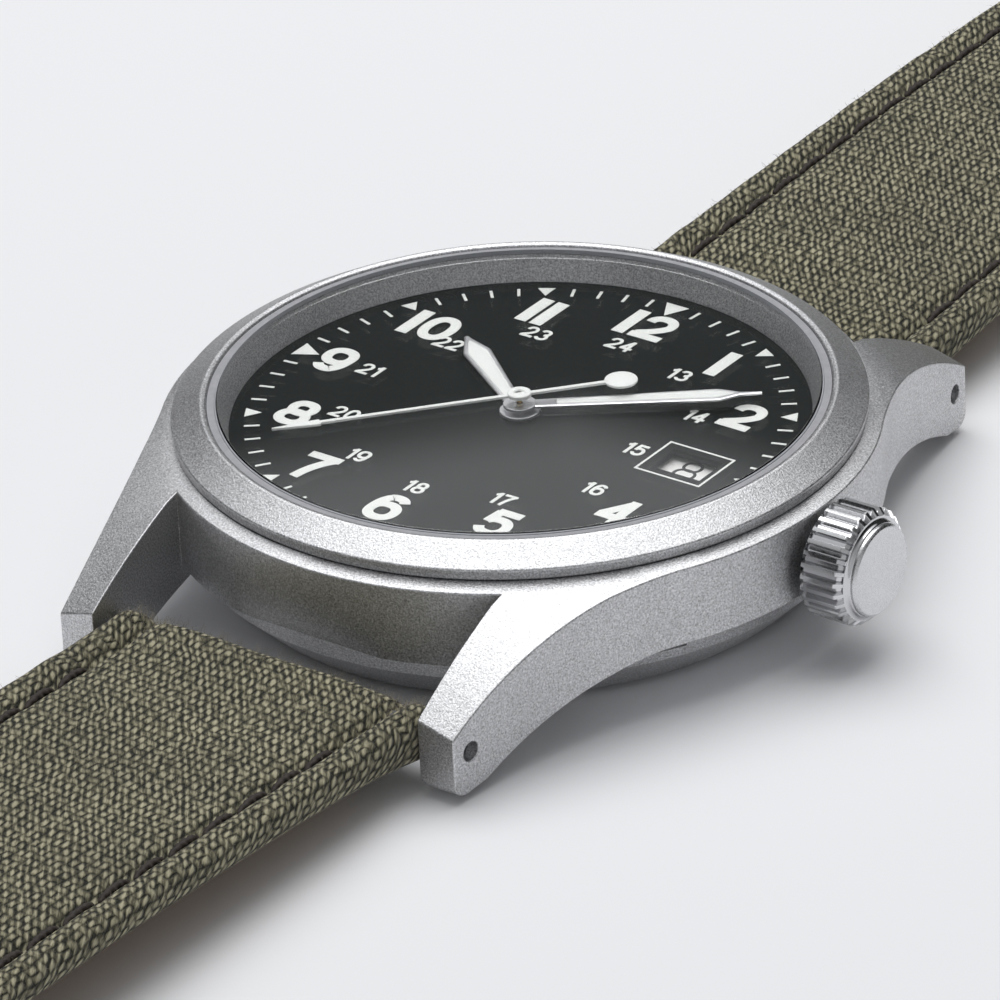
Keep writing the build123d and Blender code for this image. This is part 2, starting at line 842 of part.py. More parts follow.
def crown_gasket():
    """Ring that seals the crown on its tube."""
    start = crown_inner_x + crown_chamfer
    body = axle(crown_bore_radius - gasket_clearance, start, start + tube_bore_radius)
    return body - cross_hole(tube_radius + run, 0, crown_face_x)


def winding_stem():
    """Stem: pilot tip, square for the sliding pinion, round for the winding pinion, groove."""
    body = axle(stem_tip_radius, stem_tip_x, stem_square_x)
    half = stem_square_width / 2
    body += slab(stem_square_x, stem_round_x, -half, half, stem_z - half, stem_z + half)
    body += axle(stem_radius, stem_round_x, crown_skirt_x)
    groove_start = stem_groove_x - stem_groove_width / 2
    groove = axle(stem_radius + overrun, groove_start, groove_start + stem_groove_width)
    return body - (groove - axle(stem_groove_radius, 0, crown_skirt_x))


def keyless_pocket():
    """Room for the setting lever and the yoke over their whole travel."""
    return slab(keyless_x, keyless_end_x, keyless_low_y, keyless_high_y, keyless_floor_z, dial_bottom_z)


def main_plate():
    """Plate with a dial rim and pockets for barrel, motion and keyless work."""
    body = disc(movement_radius, plate_bottom_z, dial_bottom_z)
    body -= disc(plate_rim_radius, plate_top_z, dial_bottom_z + overrun)
    body -= pocket(barrel_drum_radius + barrel_gap, plate_bottom_z - overrun, barrel_top_z + run,
                   barrel_x, barrel_y)
    body -= pocket(motion_radius, motion_floor_z, dial_bottom_z)
    body -= keyless_pocket()
    body -= slab(keyless_x, stem_groove_x - stem_groove_width, -keyless_high_y, keyless_high_y,
                 plate_bottom_z - overrun, dial_bottom_z)
    body -= cross_hole(stem_radius + run, keyless_x, movement_radius + overrun)
    body -= cross_hole(stem_tip_radius + run, stem_tip_x - run, keyless_x + overrun)
    body -= hole(barrel_post_radius + run, plate_bottom_z, dial_bottom_z, barrel_x, barrel_y)
    body -= hole(centre_arbor_radius + run, plate_bottom_z - overrun, plate_top_z)
    for x, y in ((third_x, third_y), (escape_x, escape_y), (pallet_x, pallet_y), (balance_x, balance_y)):
        body -= hole(pivot_radius + fit, plate_bottom_z - overrun, pivot_top_z, x, y)
    for x, y in post_places:
        body -= hole(screw_shank_radius + fit, plate_bottom_z - overrun, plate_bottom_z + screw_depth, x, y)
    return body


def post(place, low):
    """Foot of a bridge on the plate."""
    return pin(post_radius, low, plate_bottom_z, *place)


def bored_for_screws(body, places):
    """Bridge with clearance bores and head seats."""
    for x, y in places:
        body -= hole(screw_shank_radius + fit, bridge_bottom_z - overrun, plate_bottom_z + overrun, x, y)
        body -= hole(screw_head_radius + fit, bridge_bottom_z - overrun,
                     bridge_bottom_z + screw_head_height, x, y)
    return body


def barrel_bridge():
    """Thick bridge over barrel and crown wheel, pocketed for both winding wheels."""
    low = bridge_bottom_z
    blank = disc(movement_radius - pocket_gap, low, barrel_bridge_top_z)
    edge = centre_wheel_pitch + pocket_gap
    blank -= slab(-movement_radius, crown_wheel_x - crown_wheel_pitch - edge, -movement_radius, 0,
                  low - overrun, plate_bottom_z)
    blank -= slab(-movement_radius, movement_radius, -movement_radius, -crown_wheel_pitch,
                  low - overrun, plate_bottom_z)
    blank -= pocket(edge, low - overrun, plate_bottom_z)
    blank -= pocket(third_wheel_pitch + pocket_gap, low - overrun, plate_bottom_z, third_x, third_y)
    blank -= pocket(balance_radius + pocket_gap, low - overrun, plate_bottom_z, balance_x, balance_y)
    for place in barrel_post_places:
        blank += post(place, barrel_bridge_top_z)
    body = bored_for_screws(blank, barrel_post_places)
    pocket_top = low + ratchet_thickness + run
    body -= pocket(ratchet_tip + wide_run, low - overrun, pocket_top, barrel_x, barrel_y)
    body -= bar_between(*click_ends, click_width + pocket_gap, low - overrun, pocket_top)
    body -= hole(click_pivot_radius / 2 + fit, low, pocket_top + ratchet_thickness, *click_ends[1])
    cavity_top = low + crown_wheel_height + run
    body -= pocket(crown_wheel_tip + wide_run, low - overrun, cavity_top, crown_wheel_x, 0)
    body += pin(barrel_post_radius, low + ratchet_thickness + run, cavity_top + seam, crown_wheel_x, 0)
    reach = winding_pinion_pitch + pocket_gap
    body -= slab(keyless_x, movement_radius + overrun, -reach, reach, cavity_top - seam,
                 plate_bottom_z) - hole(barrel_post_radius + run, low, plate_bottom_z, crown_wheel_x, 0)
    return body - hole(barrel_post_radius + run, low, plate_bottom_z, barrel_x, barrel_y)


def train_bridge():
    """Thin bridge under the third, fourth and escape pivots."""
    near, far = train_post_places
    low, high = bridge_bottom_z, bridge_top_z
    body = bar_between(near, (third_x, third_y), 2 * post_radius, low, high)
    body += bar_between((third_x, third_y), (0, 0), 2 * post_radius, low, high)
    body += bar_between((third_x, third_y), (escape_x, escape_y), 2 * post_radius, low, high)
    body += bar_between(far, (escape_x, escape_y), 2 * post_radius, low, high)
    for place in train_post_places:
        body += post(place, low)
    body = bored_for_screws(body, train_post_places)
    for x, y in ((third_x, third_y), (0, 0), (escape_x, escape_y)):
        body -= hole(jewel_radius, low - overrun, high + overrun, x, y)
    return body


def balance_cock():
    """Cock over the balance with one foot and the hairspring stud."""
    low, high = bridge_bottom_z, bridge_top_z
    body = bar_between(cock_post, (balance_x, balance_y), 2 * post_radius, low, high)
    body += post(cock_post, low)
    stud = polar(hairspring_outer + arbor_radius + fit, cock_bearing, balance_x, balance_y)
    body += pin(arbor_radius, low, hairspring_z + hairspring_height, *stud)
    body = bored_for_screws(body, [cock_post])
    return body - hole(jewel_radius, low - overrun, high + overrun, balance_x, balance_y)


def pallet_bridge():
    """Small bridge under the pallet fork."""
    top = pallet_bridge_z + pallet_bridge_thickness
    ends = [polar(pallet_post_distance, fork_bearing + side, pallet_x, pallet_y) for side in (90, -90)]
    body = bar_between(ends[0], ends[1], 2 * pallet_post_radius, pallet_bridge_z, top)
    for x, y in ends:
        body += pin(pallet_post_radius, pallet_bridge_z, plate_bottom_z, x, y)
    return body - hole(pivot_radius + fit, pallet_bridge_z - overrun, top + overrun, pallet_x, pallet_y)


def jewels():
    """Ring jewels in the train bridge and the cock."""
    places = [(third_x, third_y), (0, 0), (escape_x, escape_y), (balance_x, balance_y)]
    bores = [jewel_bore, fourth_arbor_radius + fit, jewel_bore, jewel_bore]
    found = []
    for (x, y), bore in zip(places, bores):
        stone = pin(jewel_radius, bridge_bottom_z, bridge_top_z, x, y)
        found.append(stone - hole(bore, bridge_bottom_z - overrun, bridge_top_z + overrun, x, y))
    return found


def bridge_screws():
    """Cheese-head screws that hold the bridges."""
    found = []
    for x, y in post_places:
        head = pin(screw_head_radius, bridge_bottom_z, bridge_bottom_z + screw_head_height, x, y)
        found.append(head + pin(screw_shank_radius, bridge_bottom_z, plate_bottom_z + screw_depth - fit, x, y))
    return found


def casing_clamps():
    """Two plates that hold the movement in its ring."""
    found = []
    for side in (0, 180):
        plate = slab(movement_radius - clamp_length / 2, movement_radius + clamp_length / 2, -clamp_width / 2,
                     clamp_width / 2, plate_bottom_z - clamp_thickness, plate_bottom_z)
        found.append(Rot(0, 0, clamp_angle + side) * plate)
    return found


def barrel():
    """Toothed drum, closed by its cover, round the mainspring."""
    top = barrel_bottom_z + barrel_tooth_height
    body = toothed(barrel_teeth, barrel_pitch, barrel_bottom_z, top, barrel_phase, barrel_x, barrel_y)
    body += pin(barrel_drum_radius, barrel_bottom_z, barrel_top_z, barrel_x, barrel_y, drum_sides)
    body -= pocket(barrel_drum_radius - 2 * barrel_wall, barrel_bottom_z + barrel_wall, barrel_top_z - barrel_wall,
                   barrel_x, barrel_y)
    return body - hole(barrel_post_radius + run, barrel_bottom_z - overrun, barrel_top_z + overrun,
                       barrel_x, barrel_y)


def barrel_arbor():
    """Arbor with the core that the mainspring winds on."""
    body = pin(barrel_post_radius, bridge_bottom_z, motion_floor_z + wide_run, barrel_x, barrel_y)
    return body + pin(barrel_arbor_radius, barrel_bottom_z + barrel_wall + run,
                      barrel_top_z - barrel_wall - run, barrel_x, barrel_y)


def spiral(inner, outer, turns, steps, strip, low, height, start, x, y):
    """Flat spiral strip on straight chords, from inner to outer radius."""
    inside = []
    outside = []
    count = turns * steps
    for k in range(count + 1):
        radius = inner + (outer - strip - inner) * k / count
        inside.append(polar(radius, start + k * 360 / steps, x, y))
        outside.append(polar(radius + strip, start + k * 360 / steps, x, y))
    return upright(inside + outside[::-1], low, low + height)


def mainspring():
    """Strip coiled in the barrel."""
    return spiral(barrel_arbor_radius + wide_run, barrel_drum_radius - 2 * barrel_wall - run, spring_turns,
                  spring_steps, spring_strip, barrel_bottom_z + 2 * barrel_wall, barrel_height - 4 * barrel_wall,
                  0, barrel_x, barrel_y)


def hairspring():
    """Fine strip between the balance and its stud."""
    return spiral(hairspring_inner, hairspring_outer, hairspring_turns, hairspring_steps, hairspring_strip,
                  hairspring_z, hairspring_height, cock_bearing, balance_x, balance_y)


def pallet_fork():
    """Lever with notch, two arms and stones just clear of the escape teeth."""
    low, high = fork_z, fork_z + fork_thickness
    middle = (pallet_x, pallet_y)
    end = polar(fork_reach, fork_bearing, pallet_x, pallet_y)
    body = bar_between(middle, end, fork_width, low, high)
    body += pin(fork_notch_width, low, high, *end)
    notch_end = polar(fork_notch_width, fork_bearing, *end)
    body -= bar_between(end, notch_end, fork_notch_width, low - overrun, high + overrun)
    stone_circle = escape_radius + run
    for side in (-1, 1):
        way = fork_bearing + side * pallet_stone_angle
        shoulder = polar(stone_circle + pallet_stone_length, way, escape_x, escape_y)
        tip = polar(stone_circle, way, escape_x, escape_y)
        arm = bar_between(middle, shoulder, fork_width, low, high)
        stone = bar_between(tip, shoulder, pallet_stone_width, low, high)
        body += (arm + stone) - pocket(stone_circle, low - overrun, high + overrun, escape_x, escape_y)
    body += pin(arbor_radius, pallet_bridge_z + pallet_bridge_thickness + run, plate_bottom_z - run, *middle)
    return body + pin(pivot_radius, pallet_bridge_z, pivot_top_z - fit, *middle)


def escape_wheel():
    """Wheel with raked teeth, its pinion and arbor."""
    low, high = escape_wheel_z, escape_wheel_z + wheel_thickness
    pitch = 360 / escape_teeth
    root = escape_radius - escape_tooth_height
    points = []
    for k in range(escape_teeth):
        points.append(polar(escape_radius, fork_bearing + k * pitch, escape_x, escape_y))
        points.append(polar(root, fork_bearing + (k + escape_rake_share) * pitch, escape_x, escape_y))
    body = upright(points, low, high)
    for k in range(wheel_spokes):
        body -= window(root * wheel_rim_share, 2 * arbor_radius, k * 360 / wheel_spokes,
                       (k + 1) * 360 / wheel_spokes, low, high, escape_x, escape_y)
    body += toothed(escape_pinion_teeth, escape_pinion_pitch, bridge_top_z + run, third_wheel_z - run,
                    escape_pinion_phase, escape_x, escape_y)
    body += pin(escape_arbor_radius, bridge_top_z + run, plate_bottom_z - run, escape_x, escape_y)
    return body + pin(pivot_radius, bridge_bottom_z, pivot_top_z - fit, escape_x, escape_y)


def centre_wheel():
    """Wheel, pinion and hollow arbor at the centre."""
    body = wheel(centre_wheel_teeth, centre_wheel_pitch, centre_wheel_z, centre_phase, 0, 0)
    body += toothed(centre_pinion_teeth, centre_pinion_pitch, centre_pinion_z,
                    centre_pinion_z + centre_pinion_height, centre_pinion_phase)
    body += pin(centre_arbor_radius, centre_wheel_z, centre_arbor_top_z)
    return body - hole(centre_arbor_bore, bridge_bottom_z, dial_top_z)


def third_wheel():
    """Wheel with its pinion and arbor."""
    body = wheel(third_wheel_teeth, third_wheel_pitch, third_wheel_z, third_phase, third_x, third_y)
    body += toothed(third_pinion_teeth, third_pinion_pitch, third_wheel_z + wheel_thickness,
                    centre_wheel_z + wheel_thickness + run, third_pinion_phase, third_x, third_y)
    body += pin(arbor_radius, bridge_top_z + run, plate_bottom_z - run, third_x, third_y)
    return body + pin(pivot_radius, bridge_bottom_z, pivot_top_z - fit, third_x, third_y)


def fourth_wheel():
    """Seconds wheel: pinion and long arbor that carries the seconds hand."""
    body = wheel(fourth_wheel_teeth, fourth_wheel_pitch, fourth_wheel_z, fourth_phase, 0, 0)
    body += toothed(fourth_pinion_teeth, fourth_pinion_pitch, fourth_wheel_z + wheel_thickness,
                    third_wheel_z + wheel_thickness + run, fourth_pinion_phase)
    body += pin(arbor_radius, bridge_top_z + run, fourth_wheel_z)
    return body + pin(fourth_arbor_radius, bridge_bottom_z, second_hand_z)


def balance_wheel():
    """Rim with timing screws, two arms, staff, roller and impulse pin."""
    top = balance_z + balance_height
    middle = (balance_x, balance_y)
    body = pin(balance_radius, balance_z, top, *middle, drum_sides)
    body -= pocket(balance_radius - balance_rim, balance_z - overrun, top + overrun, *middle)
    rim_middle = balance_radius - balance_rim / 2
    arms = [polar(rim_middle, fork_bearing + side, *middle) for side in (0, 180)]
    body += bar_between(arms[0], arms[1], balance_arm_width, balance_z + run, top - run)
    for k in range(balance_screws):
        place = polar(rim_middle, fork_bearing + (2 * k + 1) * 180 / balance_screws, *middle)
        body += pin(balance_screw_radius, balance_z, top + run, *place)
    body += pin(hub_radius, bridge_top_z + run, top, *middle)
    body += pin(arbor_radius, top, plate_bottom_z - run, *middle)
    body += pin(roller_radius, roller_z, roller_z + roller_height, *middle)
    impulse = polar(impulse_radius, fork_bearing + 180, *middle)
    body += pin(impulse_pin_radius, roller_z, fork_z - run, *impulse)
    return body + pin(pivot_radius, bridge_bottom_z, staff_top_z, *middle)


def cannon_pinion():
    """Pinion and pipe that carry the minute hand."""
    body = toothed(cannon_teeth, motion_module * cannon_teeth / 2, minute_wheel_z - run,
                   minute_wheel_z + cannon_face, cannon_phase)
    body += pin(cannon_radius, minute_wheel_z - run, minute_hand_z)
    body -= hole(centre_arbor_radius, minute_wheel_z - overrun, centre_arbor_top_z)
    return body - hole(centre_arbor_bore, minute_wheel_z - overrun, second_hand_z)


def minute_wheel():
    """Wheel and pinion between cannon pinion and hour wheel."""
    high = minute_wheel_z + wheel_thickness
    body = toothed(minute_wheel_teeth, motion_module * minute_wheel_teeth / 2, minute_wheel_z, high,
                   minute_phase, minute_x, minute_y)
    body += toothed(minute_pinion_teeth, motion_module * minute_pinion_teeth / 2, high,
                    hour_wheel_z + hour_wheel_thickness, minute_pinion_phase, minute_x, minute_y)
    return body - hole(minute_bore_radius, minute_wheel_z - overrun, dial_bottom_z, minute_x, minute_y)


def hour_wheel():
    """Wheel and pipe that carry the hour hand."""
    body = toothed(hour_wheel_teeth, motion_module * hour_wheel_teeth / 2, hour_wheel_z,
                   hour_wheel_z + hour_wheel_thickness, hour_phase)
    body += pin(hour_pipe_radius, hour_wheel_z, hour_hand_z)
    return body - hole(cannon_radius + run, hour_wheel_z - overrun, hour_hand_z + overrun)


def date_disc():
    """Flat ring with inner teeth under the dial."""
    high = date_disc_z + date_disc_thickness
    points = []
    for k in range(date_teeth):
        points.append(polar(date_disc_inner - date_tooth_height, k * 360 / date_teeth))
        points.append(polar(date_disc_inner, (2 * k + 1) * 180 / date_teeth))
    return disc(date_disc_outer, date_disc_z, high) - upright(points, date_disc_z - overrun, high + overrun)


def ratchet_wheel():
    """Ratchet wheel on the square of the barrel arbor."""
    body = toothed(ratchet_teeth, ratchet_pitch, bridge_bottom_z, bridge_bottom_z + ratchet_thickness,
                   ratchet_phase, barrel_x, barrel_y)
    return body - hole(barrel_post_radius, bridge_bottom_z - overrun, bridge_top_z, barrel_x, barrel_y)


def crown_wheel():
    """Cup-shaped crown wheel whose raised teeth face the winding pinion."""
    high = bridge_bottom_z + crown_wheel_height
    body = toothed(crown_wheel_teeth, crown_wheel_pitch, bridge_bottom_z, high, 0, crown_wheel_x, 0)
    return body - pocket(crown_wheel_pitch - crown_wheel_rim, bridge_bottom_z + ratchet_thickness, high + overrun,
                         crown_wheel_x, 0)


def winding_pinion():
    """Pinion that runs on the stem and drives the crown wheel."""
    end = winding_pinion_x + winding_pinion_length
    body = Pos(winding_pinion_x, 0, stem_z) * Rot(0, 90, 0) * toothed(
        winding_pinion_teeth, winding_pinion_pitch, 0, winding_pinion_length, 0)
    return body - cross_hole(stem_radius + run, winding_pinion_x - overrun, end + overrun)


def sliding_pinion():
    """Clutch pinion on the square of the stem, with the groove for the yoke."""
    end = sliding_pinion_x + sliding_pinion_length
    body = axle(sliding_pinion_radius, sliding_pinion_x, end)
    middle = (sliding_pinion_x + end) / 2
    groove = axle(sliding_pinion_radius + overrun, middle - sliding_groove_width / 2,
                  middle + sliding_groove_width / 2)
    body -= groove - axle(sliding_groove_radius, sliding_pinion_x, end)
    for k in range(clutch_teeth):
        cutter = slab(sliding_pinion_x - seam, sliding_pinion_x + clutch_slot, 0, sliding_pinion_radius + overrun,
                      -clutch_slot / 2, clutch_slot / 2)
        body -= Pos(0, 0, stem_z) * Rot(360 * k / clutch_teeth, 0, 0) * cutter
    half = stem_square_width / 2 + fit
    return body - slab(sliding_pinion_x - overrun, end + overrun, -half, half, stem_z - half, stem_z + half)


def setting_lever():
    """Lever whose pin lies in the groove of the stem."""
    top = lever_z + lever_thickness
    body = bar_between((stem_groove_x, lever_pivot_y), (stem_groove_x, 0), lever_width, lever_z, top)
    return body + pin(lever_pin_radius, stem_z + stem_groove_radius + fit, lever_z, stem_groove_x, 0)


def yoke():
    """Lever whose end lies in the groove of the sliding pinion."""
    top = yoke_z + yoke_thickness
    middle = sliding_pinion_x + sliding_pinion_length / 2
    reach = -sliding_groove_radius - wide_run
    elbow = reach - sliding_groove_radius
    tip = slab(middle - yoke_tip_width / 2, middle + yoke_tip_width / 2, elbow, reach, yoke_z, top)
    return tip + bar_between((yoke_pivot_x, yoke_pivot_y), (middle, elbow), yoke_width, yoke_z, top)


def click():
    """Pawl beside the ratchet wheel, its nose just clear of the teeth."""
    body = bar_between(*click_ends, click_width, bridge_bottom_z, bridge_bottom_z + ratchet_thickness)
    return body + pin(click_pivot_radius / 2, bridge_bottom_z, bridge_bottom_z + 2 * ratchet_thickness,
                      *click_ends[1])


def hand(points, hub, low, bore, angle):
    """Flat hand from half-outline points (distance, half width), turned to its clock angle."""
    right = [(half, along) for along, half in points]
    left = [(-half, along) for along, half in points[::-1]]
    body = upright(right + left, low, low + hand_thickness)
    body += disc(hub, low, low + hand_thickness)
    body -= hole(bore, low - overrun, low + hand_thickness + overrun)
    return Rot(0, 0, -angle) * body


def hour_hand():
    """Broad hand with a short point."""
    outline = [
        (0, hour_hand_neck / 2),
        (hour_hand_shoulder, hour_hand_width / 2),
        (hour_hand_length, hand_thickness / 2),
    ]
    return hand(outline, hour_hub_radius, hour_hand_z, cannon_radius + run, hour_hand_angle)


def minute_hand():
    """Long hand with shoulders and a needle point."""
    outline = [
        (0, minute_hand_neck / 2),
        (minute_hand_shoulder, minute_hand_width / 2),
        (minute_hand_point, minute_hand_tip),
        (minute_hand_length, hand_thickness / 2),
    ]
    return hand(outline, minute_hub_radius, minute_hand_z, fourth_arbor_radius + run, minute_hand_angle)


def second_hand():
    """Thin hand with a luminous blade at its end and a disc on its tail."""
    outline = [
        (-second_tail, second_hand_width / 2),
        (second_hand_blade, second_hand_width / 2),
        (second_hand_blade, second_hand_blade_width / 2),
        (second_hand_length, second_hand_tip / 2),
    ]
    body = hand(outline, second_hub_radius, second_hand_z, pivot_radius, second_hand_angle)
    tail = polar(second_tail, 270 - second_hand_angle)
    body += disc(second_disc_radius, second_hand_z, second_hand_z + hand_thickness, *tail)
    return body + pin(2 * fourth_arbor_radius, second_hand_z, second_hand_z + hand_thickness + hub_height)


def spring_bar(side):
    """Tube of a spring bar between the lugs."""
    tube = axle(bar_radius, -bar_half_length, bar_half_length, side * bar_y, bar_z)
    return tube - cross_hole(bar_radius - bar_wall, -strap_gap, strap_gap, side * bar_y, bar_z)


def spring_bar_tip(side, end):
    """Sliding tip: shank in the tube, flange and pivot in the lug hole."""
    y = side * bar_y
    body = axle(bar_radius - bar_wall - run, bar_shank_x, bar_flange_x, y, bar_z)
    body += axle(bar_flange_radius, bar_flange_x, bar_flange_x + bar_flange_width, y, bar_z)
    body += axle(bar_pivot_radius, bar_flange_x + bar_flange_width, bar_pivot_x, y, bar_z)
    return body if end > 0 else body.mirror(Plane.YZ)


def strap_stations(long_half):
    """Middle line of the strap and half thickness along it, as (y, z, half)."""
    half = strap_thickness / 2
    extra = strap_loop_radius - half
    found = [(bar_y, bar_z, strap_loop_radius)]
    for run_share, rise_share, extra_share in zip(rise_run_shares, rise_shares, extra_thickness_shares):
        z = bar_z + rise_share * (crest_z - bar_z)
        found.append((bar_y + run_share * rise_run, z, half + extra_share * extra))
    if long_half:
        crest_y = bar_y + rise_run
        run_left = landing_run - rise_run
        for run_share, drop_share in zip(fall_run_shares, fall_shares):
            found.append((crest_y + run_share * run_left, half + drop_share * (crest_z - half), half))
    return found


def strap_profile(long_half, low_inset, high_inset):
    """Closed side profile of a strap half, with insets from its underside and its top."""
    stations = strap_stations(long_half)
    half = strap_thickness / 2
    if long_half:
        end = (bar_y + strap_long_length, half)
    else:
        stations.append((bar_y + short_straight_run, short_straight_z, half))
        end = short_point(buckle_neck)
    top = [(0, y, z + h - high_inset) for y, z, h in stations]
    low = [(0, y, z - h + low_inset) for y, z, h in stations]
    top_end = (0, end[0], end[1] + half - high_inset)
    low_end = (0, end[0], end[1] - half + low_inset)
    edges = Polyline(*top) + Polyline(*low)
    edges += Line(top[-1], top_end) + Line(low[-1], low_end)
    if long_half or low_inset or high_inset:
        edges += Line(top_end, low_end)
    else:
        loop_top = (0, buckle_y, 2 * buckle_bar_z)
        edges += Line(top_end, loop_top) + Line(low_end, (0, buckle_y, 0))
        edges += ThreePointArc(loop_top, (0, buckle_y + buckle_bar_z, buckle_bar_z), (0, buckle_y, 0))
    if low_inset or high_inset:
        edges += Line(low[0], top[0])
    else:
        edges += ThreePointArc(low[0], (0, bar_y - strap_loop_radius, bar_z), top[0])
    return make_face(edges)


def short_point(distance):
    """Point of the straight run of the short half at a distance before the buckle bar."""
    start_y = bar_y + short_straight_run
    share = distance / (buckle_y - start_y)
    return (buckle_y - distance, buckle_bar_z + share * (short_straight_z - buckle_bar_z))


def strap_plan(long_half, side_inset, start, end):
    """Prism over the tapering plan of a strap half, between two stations."""
    far = buckle_y
    slope = (strap_width - strap_end_width) / 2 / (far - bar_y)
    start_half = strap_width / 2 - side_inset - slope * (start - bar_y)
    if long_half:
        shoulder = end - long_tip_arc
        end_half = strap_width / 2 - side_inset - slope * (shoulder - bar_y)
        outline = Line((-start_half, start), (start_half, start)) + Line((start_half, start), (end_half, shoulder))
        outline += ThreePointArc((end_half, shoulder), (0, end), (-end_half, shoulder))
        outline += Line((-end_half, shoulder), (-start_half, start))
    else:
        end_half = strap_width / 2 - side_inset - slope * (end - bar_y)
        outline = Polyline((-start_half, start), (start_half, start), (end_half, end), (-end_half, end), close=True)
    low = -overrun
    return Pos(0, 0, low) * extrude(make_face(outline), amount=strap_gap, dir=(0, 0, 1))


def strap_layer(long_half, low_inset, high_inset, side_inset, start, end):
    """Layer of a strap half between two stations, before it is turned to its side."""
    profile = strap_profile(long_half, low_inset, high_inset)
    body = extrude(profile, amount=strap_gap / 2, dir=(1, 0, 0), both=True)
    return body & strap_plan(long_half, side_inset, start, end)


def punched(body, long_half):
    """Layer with the row of adjustment holes of the long half."""
    if not long_half:
        return body
    end = bar_y + strap_long_length
    for k in range(long_holes):
        body -= hole(long_hole_radius, -overrun, strap_gap / 2, 0, end - long_hole_start - k * long_hole_pitch)
    return body


def strap_end(long_half):
    """Last station of a strap half."""
    return bar_y + strap_long_length if long_half else buckle_y + 2 * buckle_bar_z


def core_span(long_half):
    """Stations between which the canvas is lined."""
    start = bar_y + 2 * strap_loop_radius
    end = bar_y + strap_long_length - edge_fold if long_half else buckle_y - buckle_neck
    return start, end


def placed(body, long_half):
    """Strap half on its own side: the long one at the 6, the short one at the 12."""
    return body.mirror(Plane.XZ) if long_half else body


def strap_canvas(long_half):
    """Canvas that loops round the spring bar and folds round the edges."""
    body = strap_layer(long_half, 0, 0, 0, bar_y - 2 * strap_loop_radius, strap_end(long_half))
    body -= strap_layer(long_half, -overrun, canvas_thickness, edge_fold, *core_span(long_half))
    body -= cross_hole(bar_radius + strap_play, -strap_gap, strap_gap, bar_y, bar_z)
    if not long_half:
        body -= cross_hole(buckle_pin_radius + strap_play, -strap_gap, strap_gap, buckle_y, buckle_bar_z)
        body -= slab(-tongue_slit / 2, tongue_slit / 2, buckle_y - tongue_slit_length + buckle_bar_z,
                     buckle_y + strap_gap, -overrun, strap_gap)
    return placed(punched(body, long_half), long_half)


def strap_lining(long_half):
    """Padded lining under the strap, inside the folded edges."""
    start, end = core_span(long_half)
    body = strap_layer(long_half, 0, canvas_thickness + layer_gap, edge_fold + layer_gap,
                       start + layer_gap, end - layer_gap)
    return placed(punched(body, long_half), long_half)


def buckle_frame():
    """Bent frame: two drilled arms and a cross bar that rests on the table."""
    half = strap_end_width / 2 + buckle_side_play
    outer = half + buckle_arm_width
    arm = buckle_height / 2
    heel = buckle_heel
    far = buckle_y + buckle_reach
    side = Polyline(
        (0, buckle_y - arm, buckle_bar_z - arm / 2),
        (0, buckle_y - arm, buckle_bar_z + arm / 2),
        (0, buckle_y, buckle_bar_z + arm),
        (0, far - arm, buckle_height),
        (0, far, arm + arm / 2),
        (0, far, arm / 2),
        (0, far - arm, 0),
        (0, buckle_y, buckle_bar_z - arm),
        close=True,
    )
    body = extrude(make_face(side), amount=outer, dir=(1, 0, 0), both=True)
    plan = Rectangle(2 * outer, buckle_reach + 2 * heel)
    plan = chamfer(plan.vertices(), buckle_corner)
    plan = Pos(0, buckle_y + buckle_reach - (buckle_reach + 2 * heel) / 2) * plan
    body &= extrude(plan, amount=strap_gap, dir=(0, 0, 1))
    body -= slab(-half, half, buckle_y - 2 * heel, buckle_y + buckle_reach - buckle_cross, -overrun, strap_gap)
    return body - cross_hole(buckle_pin_radius, -strap_gap, strap_gap, buckle_y, buckle_bar_z)


def buckle_pin():
    """Spring bar of the buckle."""
    half = strap_end_width / 2 + buckle_side_play + buckle_arm_width
    return axle(buckle_pin_radius, seam - half, half - seam, buckle_y, buckle_bar_z)


def buckle_tongue():
    """Tongue: a knuckle on the buckle bar and a flat pin that rests on the cross bar."""
    hub = axle(tongue_hub_radius, -tongue_width / 2, tongue_width / 2, buckle_y, buckle_bar_z)
    end_y = buckle_y + buckle_reach + seam
    rest_z = buckle_height + wide_run + seam
    side = Polyline(
        (0, buckle_y, buckle_bar_z),
        (0, buckle_y, buckle_bar_z + tongue_hub_radius),
        (0, end_y - buckle_cross, rest_z + tongue_thickness),
        (0, end_y, rest_z + tongue_thickness / 2),
        (0, end_y, rest_z),
        (0, end_y - buckle_cross, rest_z),
        close=True,
    )
    body = hub + extrude(make_face(side), amount=tongue_width / 2, dir=(1, 0, 0), both=True)
    return body - cross_hole(buckle_pin_radius + strap_play, -strap_gap, strap_gap, buckle_y, buckle_bar_z)


def keeper(distance, low_play):
    """Loop round the short half, square to its straight run."""
    y, z = short_point(distance)
    outer_width = keeper_inner_width + 2 * keeper_wall
    low = -strap_thickness / 2 - low_play
    outer_height = keeper_inner_height + 2 * keeper_wall
    outer = chamfer(Rectangle(outer_width, outer_height).vertices(), keeper_wall)
    section = extrude(outer - Rectangle(keeper_inner_width, keeper_inner_height), amount=keeper_length / 2, both=True)
    upright_section = Pos(0, 0, low + keeper_inner_height / 2) * Rot(90, 0, 0) * section
    return Pos(0, y, z) * Rot(-strap_drop_angle, 0, 0) * upright_section


buckle_y = bar_y + strap_short_length
strap_drop_angle = math.degrees(math.atan2(short_straight_z - buckle_bar_z, strap_short_length - short_straight_run))

